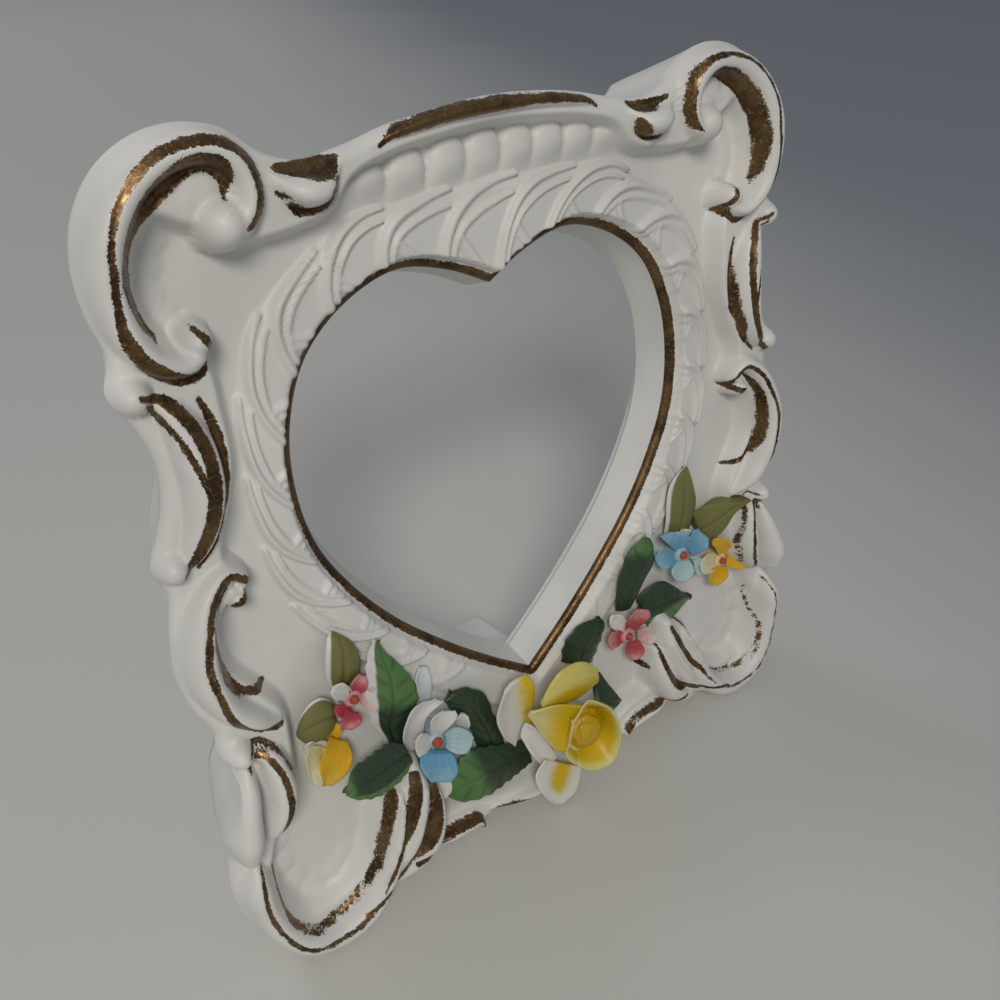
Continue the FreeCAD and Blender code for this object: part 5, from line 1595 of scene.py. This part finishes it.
class Weave:
    """Small helper that adds nodes to a tree and joins them.

    A value that a node takes is a socket, which is joined, or a number or colour, which is set.
    """

    def __init__(self, tree: NodeTree) -> None:
        """Keeps the tree that gets the nodes."""
        self.tree = tree

    def add(self, kind: str, **values: object) -> Node:
        """Adds a node.

        Args:
            kind: Its type.
            **values: Properties to set on it.

        Returns:
            The node.
        """
        node = self.tree.nodes.new(kind)
        for key, value in values.items():
            setattr(node, key, value)
        return node

    def join(self, source: Socket, target: Socket) -> None:
        """Joins an output to an input."""
        self.tree.links.new(source, target)

    def feed(self, target: Socket, value: object) -> None:
        """Joins a socket to a target, or sets the target's own value.

        Args:
            target: The input.
            value: A socket, a number or a colour.
        """
        if isinstance(value, Socket):
            self.join(value, target)
        else:
            target.default_value = value

    def math(self, operation: str, *values: object, clamp: bool = False) -> Socket:
        """Adds a math node.

        Args:
            operation: What it does.
            *values: What it works on.
            clamp: Whether its result stays between 0 and 1.

        Returns:
            Its result.
        """
        node = self.add("ShaderNodeMath", operation=operation, use_clamp=clamp)
        for socket, value in zip(node.inputs, values):
            self.feed(socket, value)
        return node.outputs[0]

    def ramp(self, value: object, low: object, high: object, to_low: float = 0.0,
             to_high: object = 1.0) -> Socket:
        """Adds a smooth remap of a value.

        Args:
            value: The value.
            low: Where the remap begins.
            high: Where it is complete.
            to_low: Its result at low.
            to_high: Its result at high.

        Returns:
            Its result.
        """
        node = self.add("ShaderNodeMapRange", interpolation_type="SMOOTHSTEP")
        for socket, given in zip(node.inputs, (value, low, high, to_low, to_high)):
            self.feed(socket, given)
        return node.outputs[0]

    def mix(self, share: object, first: object, second: object) -> Socket:
        """Adds a mix of two colours.

        Args:
            share: Share of the second.
            first: The first colour.
            second: The second colour.

        Returns:
            The mixed colour.
        """
        node = self.add("ShaderNodeMix", data_type="RGBA")
        share_input, first_input, second_input, colour_output = 0, 6, 7, 2
        self.feed(node.inputs[share_input], share)
        self.feed(node.inputs[first_input], colour(first))
        self.feed(node.inputs[second_input], colour(second))
        return node.outputs[colour_output]

    def noise(self, scale: object, detail: float) -> Socket:
        """Adds noise over the piece's own coordinates.

        Args:
            scale: How fine it is, in cycles a metre.
            detail: How many finer layers it has.

        Returns:
            The noise, from 0 to 1.
        """
        node = self.add("ShaderNodeTexNoise")
        node.inputs["Detail"].default_value = detail
        self.feed(node.inputs["Scale"], scale)
        self.join(self.place(), node.inputs["Vector"])
        return node.outputs["Fac"]

    def place(self) -> Socket:
        """The piece's own coordinates, in metres."""
        return self.add("ShaderNodeTexCoord").outputs["Object"]

    def mask(self, name: str) -> Socket:
        """A value that the mesh carries at each point."""
        return self.add("ShaderNodeAttribute", attribute_name=name).outputs["Fac"]

    def group(self, tree: NodeTree, **values: object) -> Node:
        """Adds a shared group.

        Args:
            tree: The group.
            **values: What its inputs get.

        Returns:
            The group's node.
        """
        node = self.add("ShaderNodeGroup", node_tree=tree)
        for key, value in values.items():
            self.feed(node.inputs[key], value)
        return node

    def bump(self, height: Socket, strength: float, distance: float) -> Socket:
        """Adds a bump.

        Args:
            height: The height.
            strength: How strong it is.
            distance: How deep a height of 1 is, in metres.

        Returns:
            The normal.
        """
        node = self.add("ShaderNodeBump")
        node.inputs["Strength"].default_value = strength
        node.inputs["Distance"].default_value = distance
        self.join(height, node.inputs["Height"])
        return node.outputs["Normal"]


def colour(value: object) -> object:
    """Gives a three part colour its alpha.

    Args:
        value: A colour, or a socket.

    Returns:
        The colour with its alpha, or the socket as it is.
    """
    if isinstance(value, tuple) and len(value) == 3:
        return (*value, 1.0)
    return value


def new_group(name: str, inputs: tuple[tuple[str, str], ...],
              outputs: tuple[tuple[str, str], ...]) -> tuple[NodeTree, Weave, dict]:
    """A new shader node group.

    Args:
        name: The group's name.
        inputs: Name and socket type of each input.
        outputs: Name and socket type of each output.

    Returns:
        The group, a helper for its nodes, and its inner ends named "in" and "out".
    """
    tree = bpy.data.node_groups.new(name, "ShaderNodeTree")
    for socket, kind in inputs:
        tree.interface.new_socket(socket, in_out="INPUT", socket_type=kind)
    for socket, kind in outputs:
        tree.interface.new_socket(socket, in_out="OUTPUT", socket_type=kind)
    weave = Weave(tree)
    ends = {"in": weave.add("NodeGroupInput").outputs, "out": weave.add("NodeGroupOutput").inputs}
    return tree, weave, ends


class SharedEffects:
    """Effects that more than one finish uses, each a node group built once."""

    def __init__(self) -> None:
        """Builds the groups."""
        self.grain = self.build_grain()
        self.brush_edge = self.build_brush_edge()
        self.mottle = self.build_mottle()

    def build_grain(self) -> NodeTree:
        """Fine grain of unglazed porcelain, with a few dark pin specks.

        Returns:
            The node group.
        """
        tree, weave, ends = new_group("bisque_grain", (("Scale", "NodeSocketFloat"),),
                                      (("Height", "NodeSocketFloat"), ("Specks", "NodeSocketFloat")))
        scale = ends["in"]["Scale"]
        fine = weave.noise(scale, 4.0)
        coarse = weave.noise(weave.math("MULTIPLY", scale, 0.12), 2.0)
        height = weave.math("ADD", weave.math("MULTIPLY", fine, 0.55), coarse)
        weave.join(height, ends["out"]["Height"])
        pins = weave.add("ShaderNodeTexVoronoi")
        weave.join(weave.place(), pins.inputs["Vector"])
        weave.join(weave.math("MULTIPLY", scale, 0.035), pins.inputs["Scale"])
        pin_edge = (0.018, 0.034)
        weave.join(weave.ramp(pins.outputs["Distance"], *pin_edge, 1.0, 0.0), ends["out"]["Specks"])
        return tree

    def build_brush_edge(self) -> NodeTree:
        """Turns a distance to a painted line into a mask with a ragged, dry brushed edge.

        Returns:
            The node group.
        """
        tree, weave, ends = new_group(
            "brush_edge", (("Distance", "NodeSocketFloat"), ("Rag", "NodeSocketFloat")),
            (("Mask", "NodeSocketFloat"), ("Body", "NodeSocketFloat")))
        distance, rag = ends["in"]["Distance"], ends["in"]["Rag"]
        wander = weave.math("SUBTRACT", weave.noise(420.0, 2.0), 0.5)
        bristle = weave.math("SUBTRACT", weave.noise(2600.0, 3.0), 0.5)
        slow = weave.math("MULTIPLY", wander, weave.math("MULTIPLY", rag, 1.6))
        quick = weave.math("MULTIPLY", bristle, weave.math("MULTIPLY", rag, 2.2))
        edge = weave.math("ADD", distance, weave.math("ADD", slow, quick))
        weave.join(weave.ramp(edge, -0.07, 0.07, 1.0, 0.0), ends["out"]["Mask"])
        weave.join(weave.ramp(edge, -0.9, 0.0, 1.0, 0.0), ends["out"]["Body"])
        return tree

    def build_mottle(self) -> NodeTree:
        """Uneven hand laid paint: a colour that drifts between two.

        Returns:
            The node group.
        """
        tree, weave, ends = new_group(
            "paint_mottle",
            (("Thin", "NodeSocketColor"), ("Full", "NodeSocketColor"), ("Scale", "NodeSocketFloat")),
            (("Color", "NodeSocketColor"),))
        drift = weave.ramp(weave.noise(ends["in"]["Scale"], 4.0), 0.35, 0.65)
        weave.join(weave.mix(drift, ends["in"]["Thin"], ends["in"]["Full"]), ends["out"]["Color"])
        return tree


class Finishes:
    """All the finishes of the frame."""

    def __init__(self) -> None:
        """Builds each finish once."""
        self.effects = SharedEffects()
        self.cast = self.build_cast(
            Finish("bisque_with_gilding", BISQUE.main, BISQUE.second, 0.48))
        self.plain = self.build_plain(BISQUE)
        self.olive = self.build_paint(
            Finish("olive_paint", (0.30, 0.29, 0.11), (0.17, 0.165, 0.05), 0.5), veined=0.35)
        self.dark = self.build_paint(
            Finish("leaf_green_paint", (0.085, 0.19, 0.055), (0.021, 0.046, 0.022), 0.45), veined=0.5)
        self.pink = self.build_paint(
            Finish("pink_paint", (0.60, 0.27, 0.26), (0.44, 0.05, 0.07), 0.5), veined=0.2)
        self.yellow = self.build_paint(
            Finish("yellow_paint", (0.68, 0.60, 0.17), (0.70, 0.40, 0.006), 0.45), veined=0.2)
        self.blue = self.build_paint(
            Finish("blue_paint", (0.42, 0.58, 0.61), (0.13, 0.36, 0.56), 0.5), veined=0.25)
        self.centre = self.build_paint(
            Finish("button_paint", (0.46, 0.09, 0.04), (0.30, 0.03, 0.02), 0.5), veined=0.3)
        self.rose = self.build_paint(
            Finish("rose_paint", (0.64, 0.58, 0.18), (0.62, 0.42, 0.004), 0.42), veined=0.1)
        self.rose_heart = self.build_paint(
            Finish("rose_heart_paint", (0.70, 0.52, 0.02), (0.52, 0.33, 0.005), 0.45), veined=0.2)

    def bisque(self, weave: Weave, finish: Finish) -> tuple[Socket, Socket]:
        """Bare bisque.

        Args:
            weave: Helper for the tree that gets the nodes.
            finish: Its lighter and its darker colour.

        Returns:
            The bisque's colour and its height.
        """
        grain = weave.group(self.effects.grain, Scale=5200.0)
        base = weave.group(self.effects.mottle, Thin=colour(finish.main), Full=colour(finish.second),
                           Scale=38.0)
        specks = weave.math("MULTIPLY", grain.outputs["Specks"], 0.55)
        return weave.mix(specks, base.outputs["Color"], SPECK), grain.outputs["Height"]

    def build_plain(self, finish: Finish) -> Material:
        """Bare bisque.

        Args:
            finish: Its colours and roughness.

        Returns:
            The finish.
        """
        material, tree, shader = finish.start()
        weave = Weave(tree)
        shade, height = self.bisque(weave, finish)
        weave.join(shade, shader.inputs["Base Color"])
        weave.join(weave.bump(height, 0.25, BUMP_DEPTH), shader.inputs["Normal"])
        return material

    def build_paint(self, finish: Finish, veined: float) -> Material:
        """Brushed paint over bisque, as the mesh's masks say.

        Args:
            finish: Thin paint as its main colour and full paint as its second.
            veined: How much the vein mask darkens it: painted shade in the leaves' vein grooves, and darker
                brush lines on the petals.

        Returns:
            The finish.
        """
        material, tree, shader = finish.start()
        weave = Weave(tree)
        clay, height = self.bisque(weave, BISQUE)
        brush = weave.math("MULTIPLY", weave.math("SUBTRACT", weave.noise(700.0, 4.0), 0.5), 0.55)
        depth = weave.ramp(weave.math("ADD", weave.mask("deep"), brush), 0.12, 0.88)
        paint = weave.mix(depth, finish.main, finish.second)
        # Darker colour where the vein mask lies: painted shade in the leaves' vein grooves, and brush lines
        # on the petals
        vein_darkness = 0.35
        shadow = tuple(part * vein_darkness for part in finish.second)
        line = weave.math("MULTIPLY", weave.mask("vein"), veined, clamp=True)
        paint = weave.mix(line, paint, shadow)
        ragged = weave.math("ADD", weave.mask("cover"), weave.math("MULTIPLY", brush, 0.6))
        cover = weave.ramp(ragged, 0.0, 0.95)
        weave.join(weave.mix(cover, clay, paint), shader.inputs["Base Color"])
        strokes = weave.math("ADD", weave.math("MULTIPLY", height, 0.5), weave.noise(1400.0, 3.0))
        weave.join(weave.bump(strokes, 0.3, BUMP_DEPTH), shader.inputs["Normal"])
        rough = weave.ramp(cover, 0.0, 1.0, BISQUE.roughness, finish.roughness)
        weave.join(rough, shader.inputs["Roughness"])
        return material

    def build_cast(self, finish: Finish) -> Material:
        """Bisque with brushed gilding where the mesh says that a gilt line lies, flecked with painted gold
        glints.

        Args:
            finish: The bisque's colours and roughness.

        Returns:
            The finish.
        """
        material, tree, shader = finish.start()
        weave = Weave(tree)
        shade, height = self.bisque(weave, finish)
        edge = weave.group(self.effects.brush_edge, Distance=weave.mask("gilt"), Rag=0.42)
        mask = edge.outputs["Mask"]
        gilt = weave.mix(weave.ramp(weave.noise(140.0, 3.0), 0.38, 0.62), UMBER, BRONZE)
        # Gold flecks mixed into the gilt colour, stronger near the edges of the lines: painted glints that
        # stand in for highlights on the metal
        glint = weave.ramp(weave.noise(1500.0, 4.0), 0.5, 0.72)
        rim = weave.math("SUBTRACT", 1.0, edge.outputs["Body"], clamp=True)
        painted_glint_share = weave.math("MULTIPLY", glint, weave.math("ADD", 0.22, weave.math("MULTIPLY", rim, 0.6)))
        gilt = weave.mix(painted_glint_share, gilt, GOLD)
        weave.join(weave.mix(mask, shade, gilt), shader.inputs["Base Color"])
        weave.join(weave.math("MULTIPLY", mask, 0.75), shader.inputs["Metallic"])
        rough = weave.ramp(weave.noise(900.0, 3.0), 0.3, 0.7, 0.28, 0.5)
        weave.join(weave.ramp(mask, 0.0, 1.0, finish.roughness, rough), shader.inputs["Roughness"])
        bristle = weave.math("MULTIPLY", weave.noise(3000.0, 3.0), mask)
        height = weave.math("ADD", height, bristle)
        weave.join(weave.bump(height, 0.3, BUMP_DEPTH), shader.inputs["Normal"])
        return material


@dataclass(frozen=True)
class Lamp:
    """A round area lamp: where it is, where it points, how broad and how strong it is."""

    name: str
    place: Triple
    target: Triple
    size: float
    power: float
    tone: Triple

    def light(self) -> None:
        """Adds the lamp to the scene."""
        data = bpy.data.lights.new(self.name, "AREA")
        data.shape = "DISK"
        data.size = self.size
        data.energy = self.power
        data.color = self.tone
        lamp = bpy.data.objects.new(self.name, data)
        ray = Vector(self.target) - Vector(self.place)
        turn = ray.to_track_quat("-Z", "Y").to_matrix().to_4x4()
        lamp.matrix_world = Matrix.Translation(self.place) @ turn
        bpy.context.scene.collection.objects.link(lamp)


@dataclass
class Studio:
    """The photograph's point of view, a pale table with painted shade, and soft light."""

    lens: float = 32.4
    sensor: float = 36.0
    nearest_seen: float = 0.01
    turn: Triple = (0.44897550, -0.24631725, 0.58393774)
    shift: Triple = (2.43634902, 210.18546494, 1.12413810)
    floor_reach: float = 6.0
    # The floor's second colour is the painted shade that it turns to away from the viewer's left
    floor: Finish = Finish("floor_paper", (0.58, 0.575, 0.545), (0.25, 0.268, 0.30), 0.85)
    floor_shade_slant: float = 0.35
    floor_shade_span: Pair = (-0.02, 0.50)
    lamps: tuple[Lamp, ...] = (
        Lamp("key", (-0.46, -0.75, 0.82), (0.0, -0.02, 0.08), 0.32, 5.6, (1.0, 0.96, 0.87)),
        Lamp("back", (-0.7, 1.9, 1.6), (0.3, 1.0, 0.0), 1.2, 8.0, (0.95, 0.97, 1.0)),
    )
    world_tone: Triple = (0.60, 0.63, 0.67)
    world_strength: float = 0.42

    def rotation(self) -> Array:
        """The camera's turn in plan axes.

        Returns:
            Rows of its right, forward and up directions.
        """
        turn = np.array(self.turn)
        angle = np.linalg.norm(turn)
        a, b, c = turn / angle
        cross = np.array([[0.0, -c, b], [c, 0.0, -a], [-b, a, 0.0]])
        return np.eye(3) + math.sin(angle) * cross + (1.0 - math.cos(angle)) * cross @ cross

    def build_camera(self) -> None:
        """The camera, where the photograph was taken from."""
        rows = self.rotation()
        eye = -rows.T @ np.array(self.shift) * MM
        local = Matrix([(rows[0][axis], rows[2][axis], -rows[1][axis], eye[axis]) for axis in range(3)]
                       + [(0.0, 0.0, 0.0, 1.0)])
        data = bpy.data.cameras.new("camera")
        data.lens = self.lens
        data.sensor_width = self.sensor
        data.clip_start = self.nearest_seen
        camera = bpy.data.objects.new("camera", data)
        camera.matrix_world = PLANE.matrix() @ local
        bpy.context.scene.collection.objects.link(camera)
        bpy.context.scene.camera = camera

    def build_floor(self) -> None:
        """A wide pale floor with painted shade that turns it to a darker grey away from the viewer's left.
        """
        mesh = bpy.data.meshes.new("floor")
        reach = self.floor_reach
        corners = [(-reach, -reach, 0.0), (reach, -reach, 0.0), (reach, reach, 0.0), (-reach, reach, 0.0)]
        mesh.from_pydata(corners, [], [(0, 1, 2, 3)])
        material, tree, shader = self.floor.start()
        weave = Weave(tree)
        split = weave.add("ShaderNodeSeparateXYZ")
        weave.join(weave.place(), split.inputs[0])
        slant = weave.math("MULTIPLY", split.outputs[1], self.floor_shade_slant)
        away = weave.math("SUBTRACT", split.outputs[0], slant)
        drift = weave.math("MULTIPLY", weave.math("SUBTRACT", weave.noise(4.0, 2.0), 0.5), 0.06)
        shade = weave.ramp(weave.math("ADD", away, drift), *self.floor_shade_span)
        weave.join(weave.mix(shade, self.floor.main, self.floor.second), shader.inputs["Base Color"])
        mesh.materials.append(material)
        floor = bpy.data.objects.new("floor", mesh)
        bpy.context.scene.collection.objects.link(floor)

    def build_lights(self) -> None:
        """A soft key lamp at the front, above and left, a lamp behind, and an even world."""
        for lamp in self.lamps:
            lamp.light()
        world = bpy.data.worlds.new("studio")
        world.use_nodes = True
        background = world.node_tree.nodes["Background"]
        background.inputs["Color"].default_value = colour(self.world_tone)
        background.inputs["Strength"].default_value = self.world_strength
        bpy.context.scene.world = world

    def build(self) -> None:
        """Everything that isn't part of the object."""
        self.build_floor()
        self.build_lights()
        self.build_camera()
        bpy.context.scene.view_settings.view_transform = "Standard"


def dress_foot(material: Material) -> None:
    """Gives the prop at the back its finish.

    Args:
        material: The finish.
    """
    foot = bpy.data.objects["rear_foot"]
    foot.data.materials.clear()
    foot.data.materials.append(material)


def write_sizes() -> None:
    """Brings the scene's placements up to date."""
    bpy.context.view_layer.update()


def main() -> None:
    """Builds the dressed frame and its studio."""
    logging.basicConfig(level=logging.INFO, format="%(message)s")
    finishes = Finishes()
    CastBody().build(finishes.cast)
    Spray(finishes).build()
    dress_foot(finishes.plain)
    Studio().build()
    write_sizes()


if __name__ == "__main__":
    main()
